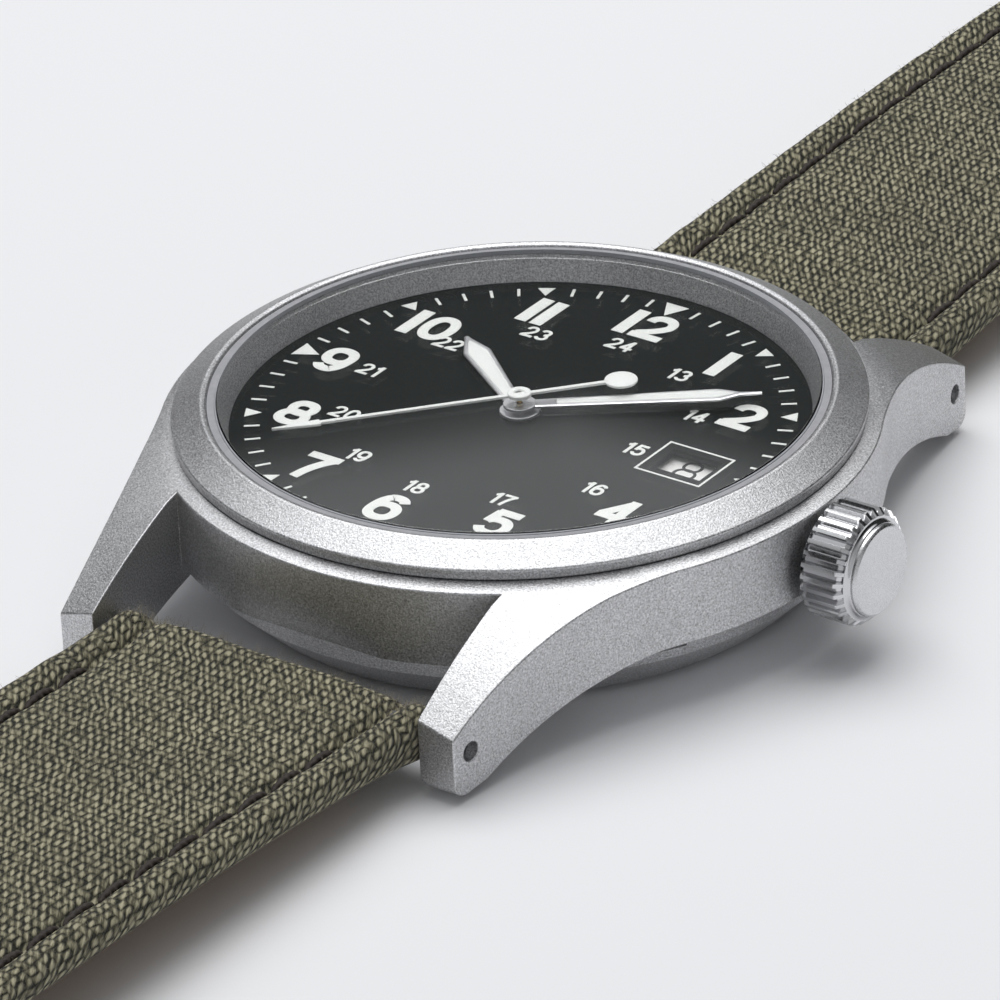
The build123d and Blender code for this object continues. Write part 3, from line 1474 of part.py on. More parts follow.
PIECES = {
    "case_middle": case_middle,
    "bezel": bezel,
    "crystal": crystal,
    "crystal_gasket": lambda: washer(bezel_lip_radius - gasket_clearance, crystal_radius + gasket_clearance,
                                     bezel_seat_z, gasket_top_z),
    "flange_ring": lambda: ring(flange_radius, view_radius, dial_top_z, bezel_skirt_z),
    "dial": dial,
    "case_back": case_back,
    "case_back_gasket": lambda: washer(back_gasket_outer, back_gasket_inner, case_bottom_z - seam,
                                       case_bottom_z - seam + back_gasket_height),
    "crown_tube": crown_tube,
    "crown": crown,
    "crown_gasket": crown_gasket,
    "winding_stem": winding_stem,
    "movement_ring": movement_ring,
    "main_plate": main_plate,
    "barrel_bridge": barrel_bridge,
    "train_bridge": train_bridge,
    "balance_cock": balance_cock,
    "pallet_bridge": pallet_bridge,
    "jewels": jewels,
    "bridge_screws": bridge_screws,
    "casing_clamps": casing_clamps,
    "barrel": barrel,
    "barrel_arbor": barrel_arbor,
    "mainspring": mainspring,
    "ratchet_wheel": ratchet_wheel,
    "crown_wheel": crown_wheel,
    "click": click,
    "centre_wheel": centre_wheel,
    "third_wheel": third_wheel,
    "fourth_wheel": fourth_wheel,
    "escape_wheel": escape_wheel,
    "pallet_fork": pallet_fork,
    "balance_wheel": balance_wheel,
    "hairspring": hairspring,
    "cannon_pinion": cannon_pinion,
    "minute_wheel": minute_wheel,
    "hour_wheel": hour_wheel,
    "date_disc": date_disc,
    "winding_pinion": winding_pinion,
    "sliding_pinion": sliding_pinion,
    "setting_lever": setting_lever,
    "yoke": yoke,
    "hour_hand": hour_hand,
    "minute_hand": minute_hand,
    "second_hand": second_hand,
    "spring_bar_12": lambda: spring_bar(1),
    "spring_bar_6": lambda: spring_bar(-1),
    "bar_tip_12_left": lambda: spring_bar_tip(1, -1),
    "bar_tip_12_right": lambda: spring_bar_tip(1, 1),
    "bar_tip_6_left": lambda: spring_bar_tip(-1, -1),
    "bar_tip_6_right": lambda: spring_bar_tip(-1, 1),
    "strap_12_canvas": lambda: strap_canvas(False),
    "strap_12_lining": lambda: strap_lining(False),
    "strap_6_canvas": lambda: strap_canvas(True),
    "strap_6_lining": lambda: strap_lining(True),
    "buckle_frame": buckle_frame,
    "buckle_pin": buckle_pin,
    "buckle_tongue": buckle_tongue,
    "fixed_keeper": lambda: keeper(fixed_keeper_distance, 0),
    "free_keeper": lambda: keeper(free_keeper_distance, keeper_play),
}

os.makedirs("parts", exist_ok=True)
for name, make in PIECES.items():
    made = make()
    solid = Compound(children=made) if isinstance(made, list) else made
    export_step(solid, os.path.join("parts", name + ".step"))
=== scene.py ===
import math

import bmesh
import bpy
import numpy as np
from mathutils import Matrix, Vector


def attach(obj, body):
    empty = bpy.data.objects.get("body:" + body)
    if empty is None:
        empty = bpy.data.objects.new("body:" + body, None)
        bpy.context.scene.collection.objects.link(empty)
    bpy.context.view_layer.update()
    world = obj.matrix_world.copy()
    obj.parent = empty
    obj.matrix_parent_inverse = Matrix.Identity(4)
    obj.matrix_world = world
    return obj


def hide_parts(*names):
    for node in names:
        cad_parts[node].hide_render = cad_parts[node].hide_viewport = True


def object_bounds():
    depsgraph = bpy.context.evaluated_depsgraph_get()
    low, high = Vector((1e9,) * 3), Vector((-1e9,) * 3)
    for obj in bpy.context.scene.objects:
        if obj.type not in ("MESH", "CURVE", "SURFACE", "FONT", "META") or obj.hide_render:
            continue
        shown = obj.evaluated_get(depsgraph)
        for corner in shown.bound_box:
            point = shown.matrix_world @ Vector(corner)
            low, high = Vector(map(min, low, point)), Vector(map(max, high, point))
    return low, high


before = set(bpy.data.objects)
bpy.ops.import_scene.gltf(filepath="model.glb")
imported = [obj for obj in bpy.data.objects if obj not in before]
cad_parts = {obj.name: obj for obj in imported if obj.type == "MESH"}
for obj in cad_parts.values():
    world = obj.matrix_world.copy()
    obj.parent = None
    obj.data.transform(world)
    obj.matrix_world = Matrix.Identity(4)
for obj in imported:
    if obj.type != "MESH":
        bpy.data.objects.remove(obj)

cad_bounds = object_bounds()
mm = 0.001

# The camera.
# A long lens low over the crown side of the 6, with a slight roll.

view_azimuth = math.radians(37.203)
view_elevation = math.radians(28.544)
view_roll = math.radians(-2.88)
view_distance = 380.956 * mm
view_target = Vector((1.924, -4.590, 5.6)) * mm
sensor_width = 36.0
focal_share = 7.56729
close_clip = 0.01
far_clip = 20.0

back = Vector((
    math.sin(view_azimuth) * math.cos(view_elevation),
    -math.cos(view_azimuth) * math.cos(view_elevation),
    math.sin(view_elevation),
))
level_right = (-back).cross(Vector((0, 0, 1))).normalized()
level_up = level_right.cross(-back)
right = math.cos(view_roll) * level_right + math.sin(view_roll) * level_up
up = math.cos(view_roll) * level_up - math.sin(view_roll) * level_right
lens = bpy.data.cameras.new("camera")
lens.sensor_width = sensor_width
lens.lens = sensor_width * focal_share
lens.clip_start = close_clip
lens.clip_end = far_clip
camera = bpy.data.objects.new("camera", lens)
camera.matrix_world = Matrix.Translation(view_target + back * view_distance) @ Matrix((
    (right.x, up.x, back.x),
    (right.y, up.y, back.y),
    (right.z, up.z, back.z),
)).to_4x4()
scene = bpy.context.scene
scene.collection.objects.link(camera)
scene.camera = camera
scene.view_settings.view_transform = "Standard"

# The table and its light.
# A pale table top under one broad soft box, high over the far left of the watch. The room is dim at its
# horizon, brightens at about the height that the crystal mirrors, and holds a pale card behind the camera.


def knot(tree, kind, inputs=None, **settings):
    """Outputs of a new node in a shader tree; each of its inputs takes a value or another node's output."""
    made = tree.nodes.new("ShaderNode" + kind)
    for key, value in settings.items():
        setattr(made, key, value)
    for socket, value in (inputs or {}).items():
        if isinstance(value, bpy.types.NodeSocket):
            tree.links.new(value, made.inputs[socket])
        else:
            made.inputs[socket].default_value = value
    return made.outputs


def sum_of(operation, *terms):
    """Output of one step of arithmetic over numbers and outputs."""
    tree = next(term.id_data for term in terms if isinstance(term, bpy.types.NodeSocket))
    return knot(tree, "Math", dict(enumerate(terms)), operation=operation)[0]


def spread(value, low, high, start=0.3, end=0.7, curve="LINEAR"):
    """Output of a value between start and end laid out from low to high."""
    return knot(value.id_data, "MapRange", {"Value": value, "From Min": start, "From Max": end, "To Min": low,
                                            "To Max": high}, interpolation_type=curve)[0]


def noise(place, scale, detail, roughness=0.5):
    """Outputs, value and colour, of a noise over the places."""
    return knot(place.id_data, "TexNoise", {"Vector": place, "Scale": scale, "Detail": detail,
                                            "Roughness": roughness})


def shaded(colour, strength):
    """Output of a colour times its strength."""
    return knot(strength.id_data, "VectorMath", {0: colour, "Scale": strength}, operation="SCALE")[0]


def bare_material(name):
    """Material and its empty tree."""
    made = bpy.data.materials.new(name)
    made.use_nodes = True
    made.node_tree.nodes.clear()
    return made, made.node_tree


def finish_with(tree, inputs):
    """Puts the main shader on a material."""
    knot(tree, "OutputMaterial", {"Surface": knot(tree, "BsdfPrincipled", inputs)[0]})


def placed(name, data):
    """Object of a lamp, camera or mesh, put in the scene."""
    made = bpy.data.objects.new(name, data)
    scene.collection.objects.link(made)
    return made


def round_angles(steps):
    """Angles of equal steps once round."""
    return np.linspace(0, 2 * math.pi, steps, endpoint=False)


def cells(index):
    """Corners of each cell of grids of point numbers, whose last two ways are rows and columns."""
    return np.stack([index[..., :-1, :-1], index[..., 1:, :-1], index[..., 1:, 1:], index[..., :-1, 1:]],
                    -1).reshape(-1, 4)


weld_reach = 1e-7


def surface(points, loop_rows=False, loop_columns=False, weld=0.0, cloth=None):
    """Mesh over a grid of points (rows, columns, 3): each cell is one face with four corners, and a looped
    way joins the last row or column to the first. Points nearer than weld become one, open ends are filled,
    and cloth gives the grid of places on the flat cloth, with one more row or column where a way is looped."""
    index = np.arange(points[..., 0].size).reshape(points.shape[:2])
    if loop_rows:
        index = np.vstack([index, index[:1]])
    if loop_columns:
        index = np.hstack([index, index[:, :1]])
    mesh = bpy.data.meshes.new("grid")
    mesh.from_pydata(points.reshape(-1, 3).tolist(), [], cells(index).tolist())
    if cloth is not None:
        places = cloth.reshape(-1, 2)[cells(np.arange(cloth[..., 0].size).reshape(cloth.shape[:2]))]
        mesh.uv_layers.new(name="cloth").data.foreach_set("uv", places.ravel())
    if weld:
        close(mesh, weld)
    return mesh


def close(mesh, weld):
    """Merges doubles, fills what is open and turns the faces outwards."""
    work = bmesh.new()
    work.from_mesh(mesh)
    bmesh.ops.remove_doubles(work, verts=work.verts, dist=weld)
    bmesh.ops.holes_fill(work, edges=[edge for edge in work.edges if edge.is_boundary])
    bmesh.ops.recalc_face_normals(work, faces=work.faces)
    work.to_mesh(mesh)
    work.free()


table_half = 3.0
table_colour = (0.88, 0.88, 0.895, 1)
table_material, tree = bare_material("pale_table_top")
finish_with(tree, {"Base Color": table_colour, "Roughness": 0.7, "Specular IOR Level": 0.1})
way = np.linspace(-table_half, table_half, 2)
table_points = np.stack(np.broadcast_arrays(way[:, None], way[None, :], cad_bounds[0][2]), -1)
table_mesh = surface(table_points)
table_mesh.materials.append(table_material)
placed("table_top", table_mesh)

room = bpy.data.worlds.new("room")
scene.world = room
room.use_nodes = True
tree = room.node_tree
tree.nodes.clear()
heading = knot(tree, "SeparateXYZ", {"Vector": knot(tree, "TexCoord")["Generated"]})
room_colour = (0.96, 0.98, 1.0, 1)
horizon_light = 0.03
edge_light = 0.38
edge_heights = 0.464, 0.475
sky_light = 0.50
sky_heights = 0.476, 0.62
boundary_tilt = 0.105
boundary_fall = -0.38
fall_start = 0.01
far_share = 0.4
far_reach = -0.5, 0.6
card_light = 0.52
card_reach = 0.2, 0.95
front = back * Vector((1, 1, 0))
front.normalize()


def share_of(way):
    """Output of the part of the heading that points along a level way."""
    return sum_of("MULTIPLY_ADD", heading["X"], way.x, sum_of("MULTIPLY", heading["Y"], way.y))


aside = share_of(level_right)
beyond = sum_of("MAXIMUM", sum_of("SUBTRACT", aside, fall_start), 0.0)
lifted = sum_of("MULTIPLY_ADD", aside, boundary_tilt, heading["Z"])
lifted = sum_of("MULTIPLY_ADD", beyond, boundary_fall, lifted)
edge_glow = spread(lifted, horizon_light, edge_light, *edge_heights, "SMOOTHSTEP")
sky_glow = spread(lifted, 0.0, sky_light, *sky_heights, "SMOOTHSTEP")
far_glow = spread(share_of(front), 1.0, far_share, *far_reach, "SMOOTHSTEP")
high_glow = sum_of("MULTIPLY", sum_of("ADD", edge_glow, sky_glow), far_glow)
card_glow = spread(share_of(front), 0.0, card_light, *card_reach, "SMOOTHSTEP")
room_level = sum_of("MAXIMUM", high_glow, card_glow)
knot(tree, "OutputWorld", {"Surface": knot(tree, "Background", {"Color": room_colour, "Strength": room_level})[0]})

lamp = bpy.data.lights.new("high_soft_box", "AREA")
lamp.shape = "RECTANGLE"
lamp.size = 600 * mm
lamp.size_y = 540 * mm
lamp.energy = 2.55
lamp_place = Vector((-110, 130, 590)) * mm
soft_box = placed("high_soft_box", lamp)
soft_box.location = lamp_place
soft_box.rotation_euler = (-lamp_place).to_track_quat("-Z", "Y").to_euler()

# The case.
# Middle with its four lugs, bezel, inner ring, back and crown tube, turned and milled from steel and
# blasted with fine beads to an even matt grain, its edges broken by the blasting.

grain_scale = 11000.0
grain_depth = 0.00003
mottle_scale = 320.0
rough_swing = 0.06


def blasted_steel(name, tone, roughness, grain):
    """Bead-blasted steel: two sizes of grain in its colour, and the finer one in its roughness and bump."""
    made, tree = bare_material(name)
    place = knot(tree, "TexCoord")["Object"]
    fine = noise(place, grain_scale, 2.0, 0.65)[0]
    speck = spread(fine, 1 - grain * 0.7, 1 + grain * 0.6)
    cloud = spread(noise(place, mottle_scale, 3.0)[0], 0.96, 1.03)
    rough = spread(fine, roughness - rough_swing, roughness + rough_swing)
    bump = knot(tree, "Bump", {"Strength": grain, "Distance": grain_depth, "Height": fine})[0]
    finish_with(tree, {"Metallic": 1.0, "Base Color": shaded(tone, sum_of("MULTIPLY", speck, cloud)),
                       "Roughness": rough, "Normal": bump})
    return made


def dress(material, *names):
    """Puts a material on CAD nodes."""
    for name in names:
        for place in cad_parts[name].material_slots:
            place.link = "OBJECT"
            place.material = material


def piece(name, mesh, material, body, slot, replaces=(), sharp=30.0):
    """Object of a mesh, smooth but for edges over the sharp angle, that rides on a body in place of CAD nodes."""
    mesh.name = name
    mesh.materials.clear()
    mesh.materials.append(material)
    mesh.polygons.foreach_set("use_smooth", np.ones(len(mesh.polygons), bool))
    mesh.set_sharp_from_angle(angle=math.radians(sharp))
    made = placed(name, mesh)
    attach(made, body)
    if replaces:
        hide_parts(*replaces)
    return made


blasted = blasted_steel("blasted_steel", (0.58, 0.58, 0.59), 0.43, 0.7)
dress(blasted, "case_back", "crown_tube")

shortest_edge = 0.05
flat_angle = 0.3
broken_edge = 0.09
broken_angle = 35
case_sharp = 24
case_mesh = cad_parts["case_middle"].data.copy()
work = bmesh.new()
work.from_mesh(case_mesh)
bmesh.ops.remove_doubles(work, verts=work.verts, dist=shortest_edge * mm)
bmesh.ops.dissolve_limit(work, angle_limit=math.radians(flat_angle), verts=work.verts, edges=work.edges)
work.to_mesh(case_mesh)
work.free()
case_body = piece("case_body", case_mesh, blasted, "case", "blasted_steel", ["case_middle"], case_sharp)
edges = case_body.modifiers.new("broken_edges", "BEVEL")
edges.width = broken_edge * mm
edges.segments = 2
edges.limit_method = "ANGLE"
edges.angle_limit = math.radians(broken_angle)
edges.use_clamp_overlap = False
edges.loop_slide = False
edges.harden_normals = True


def lathe(profile, steps, axis="z", centre=(0.0, 0.0, 0.0), turn=None):
    """Points of a profile (radius, height), in millimetres, turned about an axis: angle and profile are the
    two ways of the grid. turn may give the radius as a function of (radius, angle)."""
    profile = np.asarray(profile, float)
    angle = round_angles(steps)[:, None]
    radius = np.broadcast_to(profile[None, :, 0], (steps, len(profile)))
    if turn is not None:
        radius = turn(radius, angle)
    height = np.broadcast_to(profile[None, :, 1], (steps, len(profile)))
    across = radius * np.cos(angle)
    aside = radius * np.sin(angle)
    ways = (across, aside, height) if axis == "z" else (height, across, aside)
    return (np.stack(ways, -1) + np.asarray(centre)) * mm


def rounded(profile, radius, steps=3):
    """Profile whose inner corners are rounded: each corner becomes a quadratic curve that starts and ends at
    the given distance from it, or at a third of the straight on that side, with one more point on the
    straight just outside each end so that the shading bends on the curve alone."""
    profile = np.asarray(profile, float)
    corner = profile[1:-1]
    way = np.stack([profile[:-2], profile[2:]]) - corner
    length = np.linalg.norm(way, axis=2)[..., None]
    reach = way / length * np.minimum(radius, length / 3)
    start, end = (corner + reach)[:, :, None]
    outer_start, outer_end = (corner + reach * 1.3)[:, :, None]
    share = np.linspace(0, 1, steps + 1)[None, :, None]
    curve = (1 - share) ** 2 * start + 2 * share * (1 - share) * corner[:, None] + share ** 2 * end
    curve = np.concatenate([outer_start, curve, outer_end], 1)
    return np.vstack([profile[:1], curve.reshape(-1, 2), profile[-1:]])


def turned_piece(name, profile, corner, steps, finish, replaces=(), sharp=30.0, **ways):
    """Piece turned from a profile with its inner corners rounded; finish is its material, body and a slot that is not
    used.
    """
    mesh = surface(lathe(rounded(profile, corner), steps, **ways), True, False, weld_reach)
    piece(name, mesh, *finish, replaces, sharp)


ring_steps = 360
ring_sharp = 35
fine_edge = 0.02
case_finish = blasted, "case", "blasted_steel"
turned_piece("bezel_ring", [
    (17.0, 8.45), (17.0, 8.10), (17.67, 8.10), (17.75, 8.67), (16.16, 9.56), (15.88, 9.46), (15.88, 8.6),
    (15.45, 8.6), (15.45, 8.3), (16.25, 8.3), (16.25, 8.8), (17.0, 8.8), (17.0, 8.45),
], broken_edge, ring_steps, case_finish, ["bezel"], ring_sharp)
turned_piece("flange_cone", [
    (16.1, 7.8), (16.1, 7.21), (14.82, 7.21), (14.85, 7.28), (15.39, 8.56), (15.43, 8.56), (15.43, 8.28),
    (16.1, 8.28), (16.1, 7.8),
], fine_edge, ring_steps, case_finish, ["flange_ring"], ring_sharp)

# The crystal.
# A flat disc of sapphire with a polished chamfer and a ground edge, pressed into the bezel with a thin
# ring of grey nylon.

crystal_material, tree = bare_material("sapphire")
crystal_shader = knot(tree, "BsdfPrincipled", {
    "Base Color": (1, 1, 1, 1), "Roughness": 0.0, "IOR": 1.77, "Transmission Weight": 1.0})
crystal_clear = knot(tree, "BsdfTransparent", {"Color": (0.93, 0.93, 0.93, 1)})
crystal_mix = knot(tree, "MixShader", {
    0: knot(tree, "LightPath")["Is Shadow Ray"], 1: crystal_shader[0], 2: crystal_clear[0]})
knot(tree, "OutputMaterial", {"Surface": crystal_mix[0]})
crystal_steps = 540
turned_piece("crystal_disc", [(0.0, 8.6), (15.44, 8.6), (15.44, 9.40), (15.34, 9.5), (0.0, 9.5)], 0.03,
             crystal_steps, (crystal_material, "case", "crystal"), ["crystal"], ring_sharp)


def plain_finish(name, colour, roughness, variation, scale, bump_depth, metal=0.0, gloss=0.5):
    """One finish with soft clouds in its colour and roughness and a fine bump, each of the same noise."""
    made, tree = bare_material(name)
    cloud = noise(knot(tree, "TexCoord")["Object"], scale, 4.0, 0.6)[0]
    shade = shaded(colour, spread(cloud, 1 - variation, 1 + variation))
    rough = spread(cloud, roughness * 0.9, min(1.0, roughness * 1.1))
    bump = knot(tree, "Bump", {"Strength": 0.3, "Distance": bump_depth, "Height": cloud})[0]
    finish_with(tree, {"Metallic": metal, "Specular IOR Level": gloss, "Base Color": shade, "Roughness": rough,
                       "Normal": bump})
    return made


ground_edge = plain_finish("ground_sapphire", (0.42, 0.43, 0.46), 0.7, 0.12, 9000, 0.00001)
turned_piece("crystal_edge", [
    (15.36, 9.0), (15.36, 8.61), (15.455, 8.61), (15.455, 9.41), (15.36, 9.41), (15.36, 9.0),
], fine_edge, crystal_steps, (ground_edge, "case", "crystal"))
grey_nylon = plain_finish("grey_nylon", (0.36, 0.36, 0.38), 0.5, 0.1, 2000, 0.000003)
turned_piece("crystal_seal", [
    (15.465, 9.0), (15.465, 8.62), (15.86, 8.62), (15.86, 9.37), (15.465, 9.37), (15.465, 9.0),
], 0.03, crystal_steps, (grey_nylon, "case", "gasket"), ["crystal_gasket"])

# The dial.
# A brass disc sprayed matt black, with everything on it printed in thick white ink: numerals, minute
# strokes, hour triangles and the frame of the date window.

dial_black = plain_finish("dial_black", (0.0060, 0.0088, 0.0084), 0.5, 0.15, 4000, 0.000004, gloss=0.1)
print_white = plain_finish("print_white", (0.90, 0.92, 0.89), 0.55, 0.03, 6000, 0.00001)
dress(dial_black, "dial")

dial_top = 7.2
ink = 0.02
ink_step = 0.003
outer_radius = 11.4
outer_style = dict(height=2.68, width=1.95, one=0.72, gap=0.23, weight=0.56, plain_one=True)
inner_radius = 8.95
inner_style = dict(height=1.13, width=0.72, one=0.42, gap=0.12, weight=0.19, plain_one=False)
oval_power = 0.88
ink_weld = 1e-8


def clock(radius, minutes):
    """Place at a radius in the direction of a minute of the hour."""
    angle = math.radians(90 - 6 * minutes)
    return radius * math.cos(angle), radius * math.sin(angle)


def oval(angle, power):
    """Cosines and sines of angles, each to a power: under 1 they lie on an oval squarer than a circle."""
    ways = np.stack([np.cos(angle), np.sin(angle)], -1)
    return np.sign(ways) * np.abs(ways) ** power


def arc(centre, reach, start, end, steps=20):
    """Points of a part of an oval between two angles in degrees."""
    return np.array(centre) + np.array(reach) * oval(np.radians(np.linspace(start, end, steps)), oval_power)


def bow(start, middle, end, steps=12):
    """Points of a quadratic curve."""
    share = np.linspace(0, 1, steps)[:, None]
    return ((1 - share) ** 2 * np.array(start) + 2 * share * (1 - share) * np.array(middle)
            + share ** 2 * np.array(end))


def straight(*points):
    """Open stroke along straight lines."""
    return np.array(points), False


# Middle lines of the strokes of each figure, from -1 to 1 over the box that they fill, and whether a stroke
# closes on itself.
six = [(arc((0, -0.36), (1, 0.64), 0, 350, 36), True),
       (np.vstack([bow((-1, -0.36), (-1.04, 0.62), (-0.42, 0.90), 10),
                   arc((0.02, 0.42), (0.9, 0.58), 118, 22, 10)]), False)]
figures = {
    "0": [(arc((0, 0), (1, 1), 0, 350, 36), True)],
    "1": [straight((1.0, -1.45), (1.0, 0.0), (1.0, 1.45)),
          (bow((1.0, 1.1), (0.3, 0.75), (-1.2, 0.62), 6), False)],
    "2": [(np.vstack([arc((0, 0.42), (0.95, 0.58), 178, -18, 18),
                      bow((0.86, 0.2), (0.55, -0.25), (-0.98, -0.86), 8)[1:]]), False),
          straight((-1.35, -1.0), (0.0, -1.0), (1.35, -1.0))],
    "3": [(arc((-0.06, 0.5), (0.88, 0.5), 165, -88, 20), False),
          (arc((-0.06, -0.46), (1.04, 0.54), 88, -165, 20), False)],
    "4": [straight((0.42, -1.35), (0.42, 0.0), (0.42, 1.3)),
          straight((0.40, 1.02), (-0.3, 0.3), (-1.0, -0.42)),
          straight((-1.33, -0.48), (0.0, -0.48), (1.4, -0.48))],
    "5": [straight((1.1, 1.0), (0.1, 1.0), (-0.95, 1.0)),
          straight((-0.68, 1.05), (-0.76, 0.5), (-0.84, -0.05)),
          (arc((0.0, -0.34), (1.0, 0.66), 152, -160, 22), False)],
    "6": six,
    "7": [straight((-1.4, 1.0), (0.0, 1.0), (1.38, 1.0)),
          (bow((0.98, 0.95), (-0.25, 0.1), (-0.42, -1.35)), False)],
    "8": [(arc((0, 0.50), (0.84, 0.50), 0, 350, 30), True), (arc((0, -0.46), (1, 0.54), 0, 350, 32), True)],
    "9": [(-points, closed) for points, closed in six],
}


def stroked(figure, centre, width, height, weight):
    """Edges of the strokes of one figure in its box: their middle lines moved aside by half the weight."""
    strokes = []
    for points, closed in figures[figure]:
        line = points * ((width - weight) / 2, (height - weight) / 2)
        line = np.clip(line, (-width / 2, -height / 2), (width / 2, height / 2)) + centre
        way = np.roll(line, -1, 0) - np.roll(line, 1, 0) if closed else np.gradient(line, axis=0)
        aside = np.stack([-way[:, 1], way[:, 0]], -1) / np.linalg.norm(way, axis=1)[:, None] * weight / 2
        strokes.append((np.stack([line + aside, line - aside], 1), closed))
    return strokes


def printed(strokes, z=dial_top):
    """Raised print over strokes (edges, whether each closes): strips of the ink's thickness with flat ends."""
    points, faces, count = [], [], 0
    for order, (edges, closed) in enumerate(strokes):
        top = z + ink + order * ink_step
        heights = np.broadcast_to(np.array([top, top, z, z])[None, :, None], (len(edges), 4, 1))
        points.append(np.concatenate([np.concatenate([edges, edges[:, ::-1]], 1), heights], -1).reshape(-1, 3))
        index = np.arange(len(edges) * 4).reshape(-1, 4) + count
        index = np.vstack([index, index[:1]]) if closed else index
        index = np.hstack([index, index[:, :1]])
        faces.append(cells(index))
        count += len(edges) * 4
    mesh = bpy.data.meshes.new("print")
    mesh.from_pydata((np.vstack(points) * mm).tolist(), [], np.vstack(faces).tolist())
    close(mesh, ink_weld)
    return mesh


def bar(centre, width, height):
    """Edges of a figure one that is a plain bar."""
    line = np.array([(0, -1), (0, 0), (0, 1)]) * height / 2 + centre
    return np.stack([line - (width / 2, 0), line + (width / 2, 0)], 1), False


def numeral(words, centre, height, width, one, gap, weight, plain_one):
    """Strokes of the figures of a numeral, side by side round its centre."""
    widths = [one if figure == "1" else width for figure in words]
    start = centre[0] - (sum(widths) + gap * (len(words) - 1)) / 2
    strokes = []
    for figure, own in zip(words, widths):
        place = (start + own / 2, centre[1])
        plain = figure == "1" and plain_one
        strokes += [bar(place, own, height)] if plain else stroked(figure, place, own, height, weight)
        start += own + gap
    return strokes


outer_radii = {4: 11.75, 9: 11.7, 10: 11.15}
inner_radii = {3: 7.12, 9: 9.5}
for hour in range(1, 13):
    if hour != 3:
        strokes = numeral(str(hour), clock(outer_radii.get(hour, outer_radius), 5 * hour), **outer_style)
        piece(f"numeral_{hour}", printed(strokes), print_white, "case", "hand_white")
    strokes = numeral(str(hour + 12), clock(inner_radii.get(hour, inner_radius), 5 * hour), **inner_style)
    piece(f"inner_numeral_{hour + 12}", printed(strokes), print_white, "case", "hand_white")


def joined(grids):
    """One mesh of many grids (pieces, rows, columns, 3) whose columns close on themselves."""
    count, rows, columns = grids.shape[:3]
    index = np.arange(count * rows * columns).reshape(count, rows, columns)
    index = np.concatenate([index, index[:, :, :1]], 2)
    mesh = bpy.data.meshes.new("grids")
    mesh.from_pydata(grids.reshape(-1, 3).tolist(), [], cells(index).tolist())
    close(mesh, weld_reach)
    return mesh


def flat_pieces(outlines, low, high, inner=None):
    """Raised prints over outlines (pieces, corners, 2), with walls and an underside: a grid of rings, from
    the middle of the top, or its inner outline, over the rim to the same place of the underside."""
    inner = outlines.mean(1, keepdims=True) + 0 * outlines if inner is None else inner
    rings = np.stack([inner, outlines, outlines, inner], 1)
    heights = np.array([high, high, low, low])[None, :, None, None] + 0 * rings[..., :1]
    return np.concatenate([rings, heights], -1) * mm


def around(minutes, corners):
    """Outlines given by corners (distance, aside) turned to each of the minutes."""
    angle = np.radians(90 - 6 * np.asarray(minutes, float))[:, None]
    along, aside = np.asarray(corners, float).T
    return np.stack([along * np.cos(angle) - aside * np.sin(angle), along * np.sin(angle) + aside * np.cos(angle)], -1)


marks = {
    "minute_strokes": ([m for m in range(60) if m % 5],
                       [(13.25, -0.08), (14.05, -0.08), (14.05, 0.08), (13.25, 0.08)]),
    "hour_triangles": ([m for m in range(0, 60, 5) if m % 15], [(13.25, 0), (14.1, -0.46), (14.1, 0.46)]),
    "quarter_triangles": ([15, 30], [(13.1, 0), (14.1, -0.55), (14.1, 0.55)]),
    "large_triangles": ([0, 45], [(12.8, 0), (14.1, -0.70), (14.1, 0.70)]),
}
for name, (minutes, corners) in marks.items():
    piece(name, joined(flat_pieces(around(minutes, corners), dial_top, dial_top + ink)), print_white, "case",
          "hand_white")

window_x = 10.15
frame_half = np.array([1.98, 1.64])
frame_line = 0.12
frame_corners = np.array([(-1, -1), (1, -1), (1, 1), (-1, 1)])
frame_outer = frame_corners * frame_half + (window_x, 0)
frame_inner = frame_corners * (frame_half - frame_line) + (window_x, 0)
frame_grid = flat_pieces(frame_outer[None], dial_top, dial_top + ink, frame_inner[None])[0]
piece("date_frame", surface(frame_grid, True, True, weld_reach), print_white, "case", "hand_white")

# The date disc.
# A white ring with the day printed in black, seen through its window in the dial.

date_white = plain_finish("date_white", (0.95, 0.95, 0.93), 0.5, 0.02, 3000, 0.000004)
# Black for the printed day, also used for the painted shade in the second hand's bore.
date_print_and_bore_shade_black = plain_finish("date_print_and_bore_shade_black", (0.015, 0.015, 0.016), 0.5, 0.1, 3000, 0.000004)
dress(date_white, "date_disc")
date_top = 6.57
date_strokes = stroked("8", centre=(10.05, 0.42), width=1.30, height=1.90, weight=0.17)
piece("date_numeral", printed(date_strokes, date_top), date_print_and_bore_shade_black, "date_disc", "dial_black")

# The hands.
# Pressed satin steel with bevelled edges round a bed of white luminous paste, on turned hubs that stand one
# above the other. The second hand is enamelled white, and a black disc in its hub is painted shade for its bore.

polished = plain_finish("polished_steel", (0.70, 0.70, 0.71), 0.16, 0.02, 900, 0.000002, metal=1.0)
hand_steel = plain_finish("hand_steel", (0.84, 0.84, 0.86), 0.36, 0.02, 900, 0.000002, metal=1.0)
paste = plain_finish("luminous_paste", (0.90, 0.92, 0.90), 0.6, 0.04, 9000, 0.00002)


def turned_to(points, angle):
    """Points turned from 12 to a clock angle in degrees."""
    turn = math.radians(-angle)
    x, y = points[..., 0].copy(), points[..., 1].copy()
    return np.stack([x * math.cos(turn) - y * math.sin(turn), x * math.sin(turn) + y * math.cos(turn),
                     points[..., 2]], -1)


